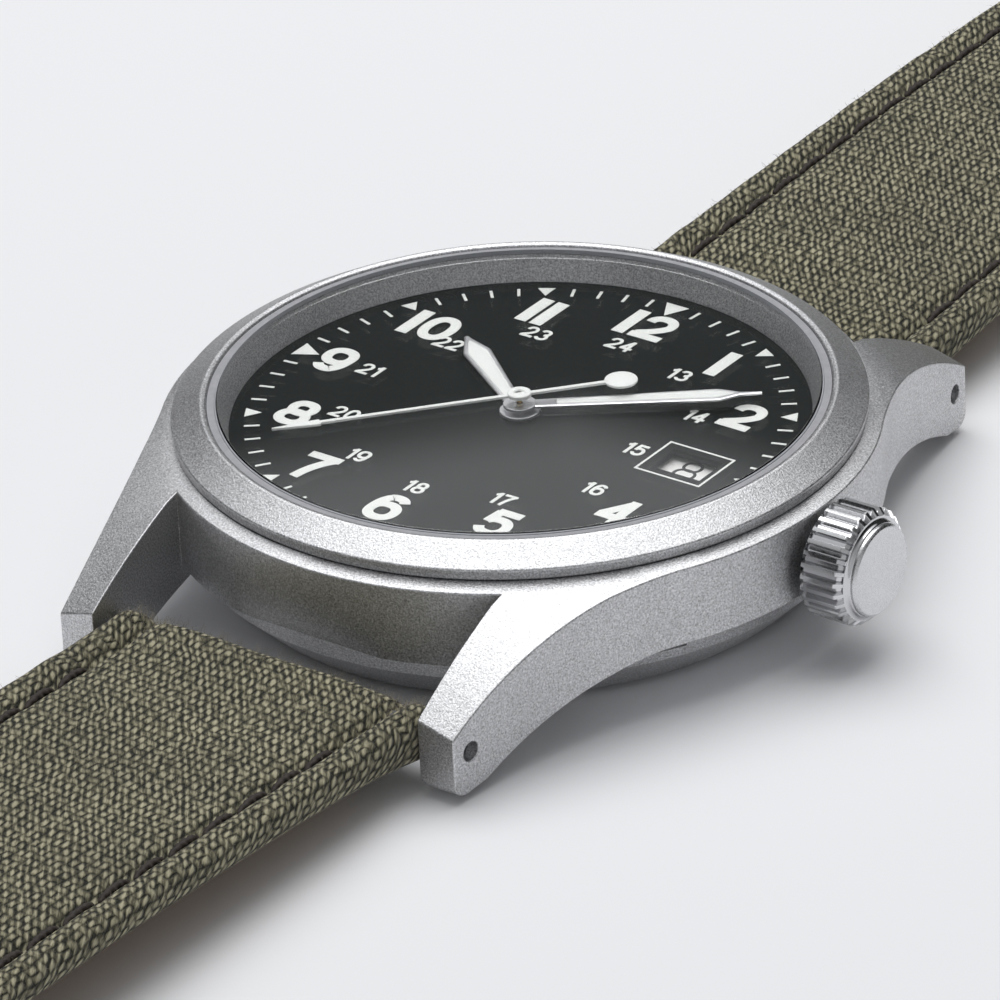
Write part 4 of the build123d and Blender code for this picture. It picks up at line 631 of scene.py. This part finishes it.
def blade(outline, low, high, bevel, angle):
    """Hand blade from its right half-outline (half width, distance), with bevelled top edges: rings from
    the middle line of the top out over the bevel and down to the middle line of the underside."""
    outline = np.asarray(outline, float)
    inner = outline.copy()
    inner[:, 0] = np.maximum(inner[:, 0] - bevel, 0)
    spine = outline * (0, 1)

    def row(line, z):
        return np.column_stack([line, np.full(len(line), z)])

    right_side = [row(spine, high), row(inner, high), row(outline, high - bevel * 0.6), row(outline, low),
                  row(spine, low)]
    left_side = [r * (-1, 1, 1) for r in right_side[1:-1][::-1]]
    grid = turned_to(np.stack(right_side + left_side), angle) * mm
    return surface(grid, True, False, weld_reach)


hand_thick = 0.13
blade_bevel = 0.07
paste_bevel = 0.05
paste_half = 0.03
hub_bore = 0.16
hub_rise = 0.04
hub_corner = 0.05

# The blade's half-outline, that of its paste, the clock angle, the lowest height, the hub's radius and the body.
hand_shapes = {
    "hour_hand": ([(0.40, 0.5), (0.47, 2.0), (0.73, 7.0), (0.66, 7.25), (0.17, 8.55), (0.14, 8.77)],
                  [(0.26, 1.2), (0.53, 6.94), (0.46, 7.1), (0.08, 8.2)], 305.9, 7.38, 1.05, "hour_train"),
    "minute_hand": ([(0.38, 0.5), (0.42, 2.0), (0.60, 10.0), (0.54, 10.25), (0.15, 11.2), (0.10, 12.3)],
                    [(0.24, 1.9), (0.42, 9.94), (0.35, 10.1), (0.06, 10.9)], 53.1, 7.75, 0.85, "centre_train"),
}
for name, (outline, bed, angle, low, hub_radius, body) in hand_shapes.items():
    top = low + hand_thick
    piece(name + "_blade", blade(outline, low, top, blade_bevel, angle), hand_steel, body, "polished_steel", [name])
    piece(name + "_paste", blade(bed, top - paste_half, top + paste_half, paste_bevel, angle), paste, body,
          "hand_white")
    hub_top = top + hub_rise
    turned_piece(name + "_hub", [
        (hub_bore, low + hub_corner), (hub_bore, low), (hub_radius, low), (hub_radius, hub_top), (hub_bore, hub_top),
        (hub_bore, low + hub_corner),
    ], hub_corner, 64, (hand_steel, body, "polished_steel"))

second_low = 8.32
second_top = second_low + hand_thick
second_bevel = 0.03
second_angle = 221.9
second_outline = [(0.13, -4.52), (0.12, 10.3), (0.26, 10.3), (0.24, 10.8), (0.05, 12.78)]
piece("second_hand_blade", blade(second_outline, second_low, second_top, second_bevel, second_angle), paste,
      "seconds_train", "hand_white", ["second_hand"])
tail_reach = -5.3
tail = tail_reach * math.sin(math.radians(second_angle)), tail_reach * math.cos(math.radians(second_angle)), 0
tail_radius = 0.85
turned_piece("second_hand_disc", [
    (0.0, second_low), (tail_radius, second_low), (tail_radius, second_top), (0.0, second_top),
], 0.04, 48, (paste, "seconds_train", "hand_white"), centre=tail)
turned_piece("second_hand_hub", [
    (0.24, 8.45), (0.24, 8.30), (0.62, 8.32), (0.62, 8.50), (0.56, 8.54), (0.30, 8.54), (0.24, 8.45),
], 0.03, 48, (paste, "seconds_train", "polished_steel"))
# A black disc in the hub's bore: painted shade where the tube below lies in shadow.
turned_piece("second_hand_bore_shade", [(0.0, 8.30), (0.25, 8.30), (0.25, 8.42), (0.0, 8.42)],
             0.02, 32, (date_print_and_bore_shade_black, "seconds_train", "polished_steel"))

# The crown.
# Turned steel with square flutes round its rim, a polished hollow step and a plain satin face.

stem_z = 5.1
crown_flutes = 30
flute_steps = 12
flute_depth = 0.3
flute_foot = 2.7


def fluted(radius, angle):
    """Radius less the depth of the flutes: flat lands and floors a third of a flute wide, joined by
    sloping walls a sixth of one wide."""
    share = (angle * crown_flutes / (2 * math.pi)) % 1.0
    wave = np.clip((np.abs(share - 0.5) - 1 / 6) * 6, 0, 1)
    return np.where(radius > flute_foot, radius - flute_depth * wave, radius)


satin = blasted_steel("satin_steel", (0.66, 0.66, 0.67), 0.28, 0.15)
bright = blasted_steel("bright_steel", (0.66, 0.66, 0.67), 0.14, 0.05)
turned_piece("crown_knob", [
    (0.0, 20.6), (1.75, 20.6), (1.75, 18.8), (2.66, 18.8), (3.05, 19.02), (3.05, 21.02), (2.74, 21.34),
    (2.62, 21.36), (2.50, 21.44), (2.43, 21.60), (0.0, 21.60),
], 0.06, crown_flutes * flute_steps, (bright, "crown", "blasted_steel"), ["crown"], ring_sharp, axis="x",
    centre=(0, 0, stem_z), turn=fluted)
turned_piece("crown_face", [(0.0, 21.5), (2.40, 21.5), (2.40, 21.74), (2.28, 21.87), (0.0, 21.87)],
             0.05, 72, (satin, "crown", "blasted_steel"), axis="x", centre=(0, 0, stem_z))

# The strap.
# Two halves of heavy olive canvas, woven with paired warp yarns, folded round their edges and over the
# spring bars, lined with thin tan leather and sewn along both sides with dark thread.

pick_pitch = 0.57 * mm
pair_pitch = 0.90 * mm
wander_scale = 420.0
wander_reach = 0.5 * mm
section_power = 3.2
warp_level = 0.58
weft_level = 0.42
yarn_swing = 0.42
yarn_depth = 0.85
ply_turns = 0.95
ply_drift = 2.4
ply_depth = 0.20
drift_scale = 800.0
cloud_scale = 160.0
streak_angle = 37
streak_scale = 900.0, 4600.0, 1.0
streak_depth = 0.36
# Heights on the colour ramp: at and below the first the gaps take the painted shade, and above the second the yarn
# brightens towards the painted highlight of its crests.
gap_shade_stop = 0.17
yarn_stop = 0.52
cloth_depth = 0.12 * mm


def woven_canvas(name, painted_gap_shade, yarn_colour, painted_crest_highlight):
    """Canvas of paired warp yarns over and under thick weft yarns, on the cloth's own places in metres. The
    height of a yarn is a round section plus its rise over the yarns it crosses, and the higher of the two
    sets shows. Streaks across the yarns stand for their twist. The colour follows the height: painted shade
    in the gaps between yarns, the yarn's own olive between, and painted highlight on the crests and along
    the twist streaks."""
    made, tree = bare_material(name)
    cloth = knot(tree, "UVMap", uv_map="cloth")[0]
    shift = knot(tree, "VectorMath", {0: noise(cloth, wander_scale, 1.0)[1], 1: (0.5, 0.5, 0.5)},
                 operation="SUBTRACT")[0]
    bent = knot(tree, "VectorMath", {0: shift, 1: (wander_reach, wander_reach, 0.0), 2: cloth},
                operation="MULTIPLY_ADD")[0]
    ways = knot(tree, "SeparateXYZ", {"Vector": bent})
    along = sum_of("DIVIDE", ways["X"], pick_pitch)
    across = sum_of("DIVIDE", ways["Y"], pair_pitch)
    cell = sum_of("ADD", sum_of("FLOOR", along), sum_of("FLOOR", across))
    over = sum_of("MULTIPLY_ADD", sum_of("FRACT", sum_of("MULTIPLY", cell, 0.5)), -4.0, 1.0)

    def yarn_height(section_share, rise_share, swing, level):
        aside = sum_of("ABSOLUTE", sum_of("MULTIPLY_ADD", section_share, 2.0, -1.0))
        section = sum_of("SUBTRACT", 1.0, sum_of("POWER", aside, section_power))
        rise = sum_of("MULTIPLY", over, sum_of("SINE", sum_of("MULTIPLY", rise_share, math.pi)))
        return sum_of("MULTIPLY", section, sum_of("MULTIPLY_ADD", rise, swing, level))

    along_share = sum_of("FRACT", along)
    across_share = sum_of("FRACT", across)
    yarn_share = sum_of("FRACT", sum_of("MULTIPLY", across, 2.0))
    yarn = sum_of("MAXIMUM", yarn_height(yarn_share, along_share, yarn_swing, warp_level),
                  yarn_height(along_share, across_share, -yarn_swing, weft_level))
    turned = knot(tree, "Mapping", {"Vector": cloth, "Rotation": (0, 0, math.radians(streak_angle))})[0]
    drawn = knot(tree, "Mapping", {"Vector": turned, "Scale": streak_scale})[0]
    streak = noise(drawn, 1.0, 3.0, 0.65)[0]
    drift = noise(cloth, drift_scale, 1.0)[0]
    slant = sum_of("MULTIPLY_ADD", sum_of("SUBTRACT", along_share, 0.5), 2 * math.pi * ply_turns,
                   sum_of("MULTIPLY", sum_of("SUBTRACT", yarn_share, 0.5), 2 * math.pi))
    ply = sum_of("COSINE", sum_of("MULTIPLY_ADD", drift, ply_drift, sum_of("SUBTRACT", slant, ply_drift / 2)))
    twist = sum_of("MULTIPLY_ADD", ply, ply_depth, spread(streak, -streak_depth, streak_depth))
    height = sum_of("MULTIPLY_ADD", yarn, yarn_depth, twist)
    # The colour follows the height: painted shade in the gaps, painted highlight on the crests and twist streaks.
    tone = knot(tree, "ValToRGB", {0: height})[0]
    stops = tone.node.color_ramp.elements
    stops[0].position = gap_shade_stop
    stops[0].color = (*painted_gap_shade, 1)
    stops[1].position = 1.0
    stops[1].color = (*painted_crest_highlight, 1)
    stops.new(yarn_stop).color = (*yarn_colour, 1)
    cloud = spread(noise(cloth, cloud_scale, 3.0)[0], 0.84, 1.14)
    bump = knot(tree, "Bump", {"Strength": 0.85, "Distance": cloth_depth, "Height": height})[0]
    finish_with(tree, {"Base Color": shaded(tone, cloud), "Normal": bump, "Roughness": 0.92,
                       "Specular IOR Level": 0.2, "Sheen Weight": 0.15, "Sheen Roughness": 0.5})
    return made


# Colours of the canvas: painted shade for the gaps, the yarn's own olive, and painted highlight for the crests.
canvas = woven_canvas("olive_canvas", (0.014, 0.014, 0.009), (0.115, 0.106, 0.068), (0.43, 0.40, 0.275))
leather = plain_finish("tan_leather", (0.30, 0.205, 0.12), 0.7, 0.2, 900, 0.00004)
thread = plain_finish("dark_thread", (0.036, 0.028, 0.024), 0.75, 0.6, 7000, 0.00006)
fluff = plain_finish("loose_fibre", (0.24, 0.21, 0.155), 0.8, 0.3, 3000, 0.000002)


def curve_through(points, where):
    """Heights of a smooth curve through points (y, z) at the stations where: cubic pieces whose slopes at the
    points are the weighted means of the slopes on their two sides."""
    y, z = np.asarray(points, float).T
    step = np.diff(y)
    rise = np.diff(z) / step
    slope = np.empty_like(y)
    slope[1:-1] = (rise[:-1] * step[1:] + rise[1:] * step[:-1]) / (step[1:] + step[:-1])
    slope[0] = 1.5 * rise[0] - 0.5 * slope[1]
    slope[-1] = 1.5 * rise[-1] - 0.5 * slope[-2]
    cell = np.clip(np.searchsorted(y, where, side="right") - 1, 0, len(y) - 2)
    t = (where - y[cell]) / step[cell]
    return (z[cell] * (2 * t ** 3 - 3 * t ** 2 + 1) + z[cell + 1] * (3 * t ** 2 - 2 * t ** 3)
            + step[cell] * (slope[cell] * (t ** 3 - 2 * t ** 2 + t) + slope[cell + 1] * (t ** 3 - t ** 2)))


bar_y = 21.51
bar_z = 2.62
crest_z = 4.3
half_thick = 0.8
loop_radius = 1.4
rise_run = 38.0
strap_width = 19.5
strap_end_width = 18.0
short_length = 75.0
bend_run = 45.4
bend_z = 4.15
fall_run = 29.6
fall_height = 2.65
tongue_run = 4.0
buckle_y = bar_y + short_length
buckle_z = 1.5
long_length = 118.0
long_fall = 40.0
long_tip = 7.0
stitch_pitch = 2.6
stitch_inset = 2.1
stitch_start = 4.6


def strap_lines(long_half):
    """Upper and lower lines of a strap half as stations (y, z): from over the bar to the far end."""
    stations = [(bar_y, bar_z, loop_radius)]
    for run, climb, extra in ((0.09, 0.2, 0.42), (0.22, 0.43, 0.17), (0.36, 0.61, 0.05), (0.57, 0.85, 0.0),
                              (0.8, 0.97, 0.0), (1.0, 1.0, 0.0)):
        stations.append((bar_y + run * rise_run, bar_z + climb * (crest_z - bar_z),
                         half_thick + extra * (loop_radius - half_thick)))
    if long_half:
        for run, drop in ((0.12, 0.98), (0.25, 0.9), (0.37, 0.75), (0.5, 0.55), (0.63, 0.33), (0.75, 0.15),
                          (0.88, 0.04), (1.0, 0.0)):
            stations.append((bar_y + rise_run + run * long_fall, half_thick + drop * (crest_z - half_thick),
                             half_thick))
        stations.append((bar_y + long_length, half_thick, half_thick))
    else:
        stations.append((bar_y + bend_run, bend_z, half_thick))
        stations.append((buckle_y - tongue_run, buckle_z + tongue_run / fall_run * fall_height, half_thick))
        stations.append((buckle_y, buckle_z, buckle_z))
    stations = np.array(stations)
    return stations[:, [0, 1]] + (0, 1) * stations[:, [2]], stations[:, [0, 1]] - (0, 1) * stations[:, [2]]


def strap_path(long_half, step, start=-loop_radius, stop=None):
    """Stations of a strap half from the front of its loop: distance from the bar's middle, middle height,
    half thickness and half width. The ends are half circles, and the tip of the long half is half round."""
    top_line, low_line = strap_lines(long_half)
    far = top_line[-1, 0]
    ends = [] if long_half else [far + buckle_z * math.sin(a) for a in np.linspace(0.15, math.pi / 2 - 0.06, 9)]
    nose = [bar_y - loop_radius * math.cos(a) for a in np.linspace(0.12, math.pi / 2, 10)[:-1]]
    tip = [far]
    if long_half:
        tip = [far - long_tip * (1 - math.sin(a)) for a in np.linspace(0.1, math.pi / 2 - 0.05, 14)]
    run = np.concatenate([nose, np.arange(bar_y, tip[0] - step / 2, step), tip, ends])
    run = run[run - bar_y >= start - 1e-9]
    if stop is not None:
        run = run[run - bar_y <= stop]
    inside = np.clip(run, bar_y, far)
    middle = (curve_through(top_line, inside) + curve_through(low_line, inside)) / 2
    thick = (curve_through(top_line, inside) - curve_through(low_line, inside)) / 2
    thick = thick * np.sqrt(np.clip(1 - ((inside - run) / thick) ** 2, 0, 1))
    width = strap_width / 2 - (inside - bar_y) * (strap_width - strap_end_width) / 2 / (buckle_y - bar_y)
    if long_half:
        width = width * np.sqrt(np.clip(1 - np.clip((run - far + long_tip) / long_tip, 0, 1) ** 2, 0.0, 1))
    return run - bar_y, middle, thick, width


canvas_top = [(0.03, 0.36), (0.12, 0.64), (0.28, 0.84), (0.52, 0.97), (0.85, 1.02), (1.2, 1.0), (1.5, 0.91),
              (1.78, 0.74), (1.96, 0.52), (2.2, 0.48), (2.40, 0.66), (2.7, 0.85), (3.1, 0.93), (3.8, 0.97)]
canvas_low = [(0.03, -0.36), (0.12, -0.64), (0.28, -0.84), (0.5, -0.95), (0.75, -1.0), (0.88, -0.9), (0.93, -0.62)]
inner_shares = 0.8, 0.6, 0.4, 0.2, 0.0
tapered_width = 4.0
groove_width = 0.3
roll_inset = 0.9
roll_width = 0.5
roll_share = 0.22
wave_share = 0.25


def half_section(points, inner_height):
    """Half of a section from edge to middle: inset, share of the width, inner inset and height."""
    return np.array([(inset, 1, 0, height) for inset, height in points]
                    + [(0, share, points[-1][0], inner_height) for share in inner_shares])


def strap_grid(path, top, low, dip):
    """Grid of a strap: at each station a closed section from the middle of the underside round by the +X edge
    and the top. A point stands at share times (half width less inner inset) less its inset, and at its height
    share of the half thickness. The stitch groove dips once a stitch, the roll outside it swells between, and
    slow waves raise and lower the whole top a little."""
    distance, middle, thick, width = (v[:, None] for v in path)
    first = half_section(low, low[-1][1])[::-1]
    second = half_section(top, 1.0)
    edge = np.array([[0.0, 1.0, 0.0, 0.0]])
    right_half = np.vstack([first, edge, second])
    section = np.vstack([right_half, right_half[1:-1][::-1]])
    side = np.ones(len(section))
    side[len(right_half):] = -1
    inset, share, inner, height = section.T
    fit = np.clip(width / tapered_width, 0, 1)
    x = side * share * (width - inner * fit - inset * fit)
    groove = np.exp(-((inset - stitch_inset) / groove_width) ** 2) * (height > 0)
    roll = np.exp(-((inset - roll_inset) / roll_width) ** 2) * (height > 0)
    beat = np.cos(2 * math.pi * (distance - stitch_start) / stitch_pitch)
    height = height - dip * groove * (0.5 + 0.5 * beat) ** 3 - dip * roll_share * roll * beat
    height = height + dip * wave_share * (np.abs(height) > 0.5) * (height > 0) * (
        np.sin(distance * 0.83 + x * 0.31) * np.sin(distance * 0.29 - x * 0.47 + 1.3)
        + 0.5 * np.sin(distance * 1.9 - x * 1.1 + side))
    return x, distance + 0 * x, middle + thick * height


def laid(x, distance, z, side):
    """Points of a strap half on its side of the case: -1 is the side of the 6."""
    return np.stack([x, side * (bar_y + distance), z], -1) * mm


def walk(points):
    """Distances walked along a line of points."""
    return np.concatenate([[0], np.cumsum(np.linalg.norm(np.diff(points, axis=0), axis=1))])


def cloth_places(points, side):
    """Places on the flat cloth in metres: along the middle of the top, and round the section from there, the
    other way round on the half of the 12, so that the yarns of both halves are twisted the same way."""
    ring = np.concatenate([points, points[:, :1]], 1)
    step = np.linalg.norm(np.diff(ring, axis=1), axis=2)
    round_way = np.concatenate([np.zeros((len(points), 1)), np.cumsum(step, 1)], 1)
    round_way = (round_way[:, [-1]] / 2 - round_way) * side
    along = walk(points[:, points.shape[1] // 2])[:, None]
    return np.stack([along + 0 * round_way, round_way], -1)


def cut_out(mesh, cutters):
    """Mesh with the closed cutter meshes taken away."""
    held = placed("held", mesh)
    tool = placed("tool", cutters)
    cut = held.modifiers.new("cut", "BOOLEAN")
    cut.operation = "DIFFERENCE"
    cut.solver = "EXACT"
    cut.object = tool
    bpy.context.view_layer.update()
    made = bpy.data.meshes.new_from_object(held.evaluated_get(bpy.context.evaluated_depsgraph_get()))
    bpy.data.objects.remove(held)
    bpy.data.objects.remove(tool)
    return made


hole_start = 20.0
hole_pitch = 6.5
hole_radius = 0.95
hole_count = 8
slit_half = 1.3
slit_start = buckle_y - 5.0
slit_stop = buckle_y + 9
punch_reach = 9.0


def strap_cutters(long_half):
    """Round punches for the holes of the long half, or the slot for the tongue in the short one."""
    if long_half:
        turn = round_angles(24)
        middle = -(bar_y + long_length - hole_start - hole_pitch * np.arange(hole_count))
        radius = np.array([0, hole_radius, hole_radius, 0])[None, :, None]
        height = np.array([-punch_reach, -punch_reach, punch_reach, punch_reach])[None, :, None]
        x = radius * np.cos(turn) + 0 * middle[:, None, None]
        y = radius * np.sin(turn) + middle[:, None, None]
        return joined(np.stack([x, y, height + 0 * x], -1) * mm)
    plan = np.array([(-slit_half, slit_start), (slit_half, slit_start), (slit_half, slit_stop),
                     (-slit_half, slit_stop)])
    return joined(flat_pieces(plan[None], -punch_reach, punch_reach))


fibre_count = 1500
fibre_radius = 0.011
fibre_lengths = 0.10, 0.55
fibre_lean = 0.7
fibre_rise = 0.8
fibre_bend = 0.35


def loose_fibres(grid, side):
    """Fibres that stand out of the cloth: half from its end over the bar, the rest from its two edges and
    its top. Each is a thin three-sided tube along a quadratic curve from a point of the strap's grid, out,
    aside and up by lengths drawn at random."""
    draw = np.random.default_rng(7)
    kind = np.array([0, 0, 1, 2])[np.arange(fibre_count) % 4]
    quarter = grid.shape[1] // 4
    row = np.where(kind == 0, draw.integers(1, 12, fibre_count),
                   (draw.random(fibre_count) * len(grid) * 0.5).astype(int))
    edge = np.where(draw.random(fibre_count) < 0.5, quarter, 3 * quarter) + draw.integers(-4, 5, fibre_count)
    column = np.where(kind == 1, edge, draw.integers(quarter, 3 * quarter + 1, fibre_count))
    root = grid[row, column] / mm
    x_way = np.where(kind == 1, np.sign(root[:, 0]), draw.uniform(-fibre_lean, fibre_lean, fibre_count))
    y_way = np.where(kind == 0, -side, draw.uniform(-fibre_lean, fibre_lean, fibre_count))
    z_way = draw.uniform(0.0, fibre_rise, fibre_count)
    length = draw.uniform(*fibre_lengths, fibre_count) * np.where(kind == 0, 1.0, 0.6)
    reach = np.stack([x_way, y_way, z_way], -1) * length[:, None]
    bend = draw.uniform(-fibre_bend, fibre_bend, (fibre_count, 3)) * length[:, None]
    share = np.linspace(0, 1, 5)[None, :, None]
    line = root[:, None] + reach[:, None] * share + bend[:, None] * 4 * share * (1 - share)
    turn = np.array([0.0, 2.1, 4.2])
    ring = np.stack([np.cos(turn), np.sin(turn), 0.6 * np.sin(turn + 1.0)], -1) * fibre_radius
    thin = 1 - 0.6 * share[..., None]
    return joined((line[:, :, None] + ring[None, None] * thin) * mm)


canvas_step = 0.375
canvas_sharp = 50
stitch_dip = 0.16
lining_top = np.array([(0.98, -0.80), (1.04, -0.68), (1.2, -0.66)])
lining_low = np.array([(0.98, -0.88), (1.04, -0.96), (1.2, -0.99)])
lining_step = 1.0
lining_start = 3.0
lining_sharp = 40
lining_least = 0.05
stitch_station = 0.25
stitch_steps = 19
stitch_fill = 0.96
stitch_slant = 0.07
stitch_radius = 0.175
stitch_top = 0.58
stitch_sink = 0.28
stitch_raise = 0.07
strand_swell = 0.30
strand_twist = 16
thread_sharp = 60
halves = {
    "long": (True, "strap_6", long_length - 2.0, long_length - 8.0),
    "short": (False, "strap_12", 68.0, 69.0),
}
for half, (long_half, body, lining_stop, stitch_stop) in halves.items():
    side = -1 if long_half else 1
    grid = laid(*strap_grid(strap_path(long_half, canvas_step), canvas_top, canvas_low, stitch_dip), side)
    mesh = surface(grid, False, True, weld_reach, cloth_places(grid, side))
    piece(f"strap_{half}_canvas", cut_out(mesh, strap_cutters(long_half)), canvas, body, "strap_canvas",
          [f"{body}_canvas"], canvas_sharp)
    piece(f"strap_{half}_fibres", loose_fibres(grid, side), fluff, body, "strap_canvas", (), thread_sharp)
    path = strap_path(long_half, lining_step, lining_start, lining_stop)
    distance, middle, thick, width = (v[:, None] for v in path)
    outline = np.vstack([lining_low[::-1], lining_top])
    outline = np.vstack([outline, outline[::-1]])
    way = np.where(np.arange(len(outline)) < len(outline) // 2, 1, -1)
    x = way * np.maximum(width - outline[:, 0], lining_least)
    grid = laid(x, distance + 0 * x, middle + thick * outline[:, 1], side)
    mesh = surface(grid, False, True, weld_reach)
    cut = cut_out(mesh, strap_cutters(long_half)) if long_half else mesh
    piece(f"strap_{half}_lining", cut, leather, body, "strap_lining", [f"{body}_lining"], lining_sharp)

    # The thread: one row of stitches in the groove along each side, each dipping into the cloth at its ends.
    path = strap_path(long_half, stitch_station)
    centres = np.arange(stitch_start + stitch_pitch / 2, stitch_stop, stitch_pitch)
    share = np.linspace(-1, 1, stitch_steps)[None, :]
    stations = centres[:, None] + share / 2 * stitch_pitch * stitch_fill
    lift = stitch_top - stitch_sink * share ** 2 + 0 * stations
    thickness = stitch_radius * np.sqrt(np.clip(1 - 0.98 * np.abs(share) ** 4, 0, 1)) + 0 * stations
    thickness[:, [0, -1]] = 0
    turn = round_angles(8)
    ply = 1 + strand_swell * np.cos(2 * turn[None, None, :] - strand_twist * share[..., None])
    rows = []
    for edge in (-1, 1):
        level, thick, wide = (np.interp(stations, path[0], line) for line in path[1:])
        slant = stitch_slant * share * edge
        x = (edge * (wide - stitch_inset + slant))[..., None] + thickness[..., None] * ply * np.cos(turn)
        z = (level + thick * lift + stitch_raise)[..., None] + thickness[..., None] * ply * np.sin(turn)
        rows.append(laid(x, stations[..., None] + 0 * x, z, side))
    piece(f"strap_{half}_stitches", joined(np.concatenate(rows)), thread, body, "strap_canvas", (), thread_sharp)

# The keepers.
# Two loops of the same canvas round the short half: one sewn down beside the buckle, one that slides.

keeper_length = 5.0
keeper_wall = 0.9
keeper_half = np.array([10.35, 2.65])
keeper_power = 0.22
wall_power = 0.5
strap_drop = math.atan2(fall_height, fall_run)
loop = oval(round_angles(96), keeper_power).T
wall = oval(round_angles(20), wall_power).T
x, z = loop[..., None] * (keeper_half[:, None, None] - keeper_wall / 2 * (1 - wall[0]))
y = keeper_length / 2 * wall[1] + 0 * x
keepers = {"fixed_keeper": ((87.095, 3.297), "strap_12"), "free_keeper": ((76.586, 4.138), "free_keeper")}
for name, (centre, body) in keepers.items():
    points = np.stack([x, centre[0] + y * math.cos(strap_drop) + z * math.sin(strap_drop),
                       centre[1] - y * math.sin(strap_drop) + z * math.cos(strap_drop)], -1) * mm
    round_way, over_way = (walk(np.vstack([ring, ring[:1]])) for ring in (points[:, points.shape[1] // 2], points[0]))
    cloth = np.stack(np.broadcast_arrays(round_way[:, None], over_way[None, :]), -1)
    piece(name + "_loop", surface(points, True, True, 0, cloth), canvas, body, "strap_canvas", [name], thread_sharp)

# The buckle, the bars and the movement.
# Satin steel frame and tongue; spring bars of drawn steel; brass plates and wheels, steel springs and
# ruby bearings, all sealed in the case.

dress(satin, "buckle_frame", "buckle_tongue")
brass = plain_finish("movement_brass", (0.62, 0.45, 0.20), 0.35, 0.05, 1500, 0.000003, metal=1.0)
dress(brass, "centre_wheel", "third_wheel", "fourth_wheel", "minute_wheel", "barrel", "balance_wheel", "main_plate",
      "barrel_bridge", "train_bridge", "balance_cock", "pallet_bridge")
dress(polished, "hour_wheel", "cannon_pinion", "spring_bar_12", "spring_bar_6", "buckle_pin", "bar_tip_12_left",
      "bar_tip_12_right", "bar_tip_6_left", "bar_tip_6_right", "winding_stem", "barrel_arbor", "bridge_screws",
      "casing_clamps", "click", "crown_wheel", "ratchet_wheel", "escape_wheel", "hairspring", "mainspring",
      "pallet_fork", "setting_lever", "yoke", "sliding_pinion", "winding_pinion")
dress(plain_finish("jewel", (0.45, 0.02, 0.08), 0.1, 0.05, 2000, 0.000001), "jewels")
dress(plain_finish("rubber", (0.02, 0.02, 0.02), 0.6, 0.1, 2000, 0.000003), "case_back_gasket", "crown_gasket")
dress(plain_finish("ring_plastic", (0.6, 0.6, 0.58), 0.5, 0.03, 900, 0.000003), "movement_ring")
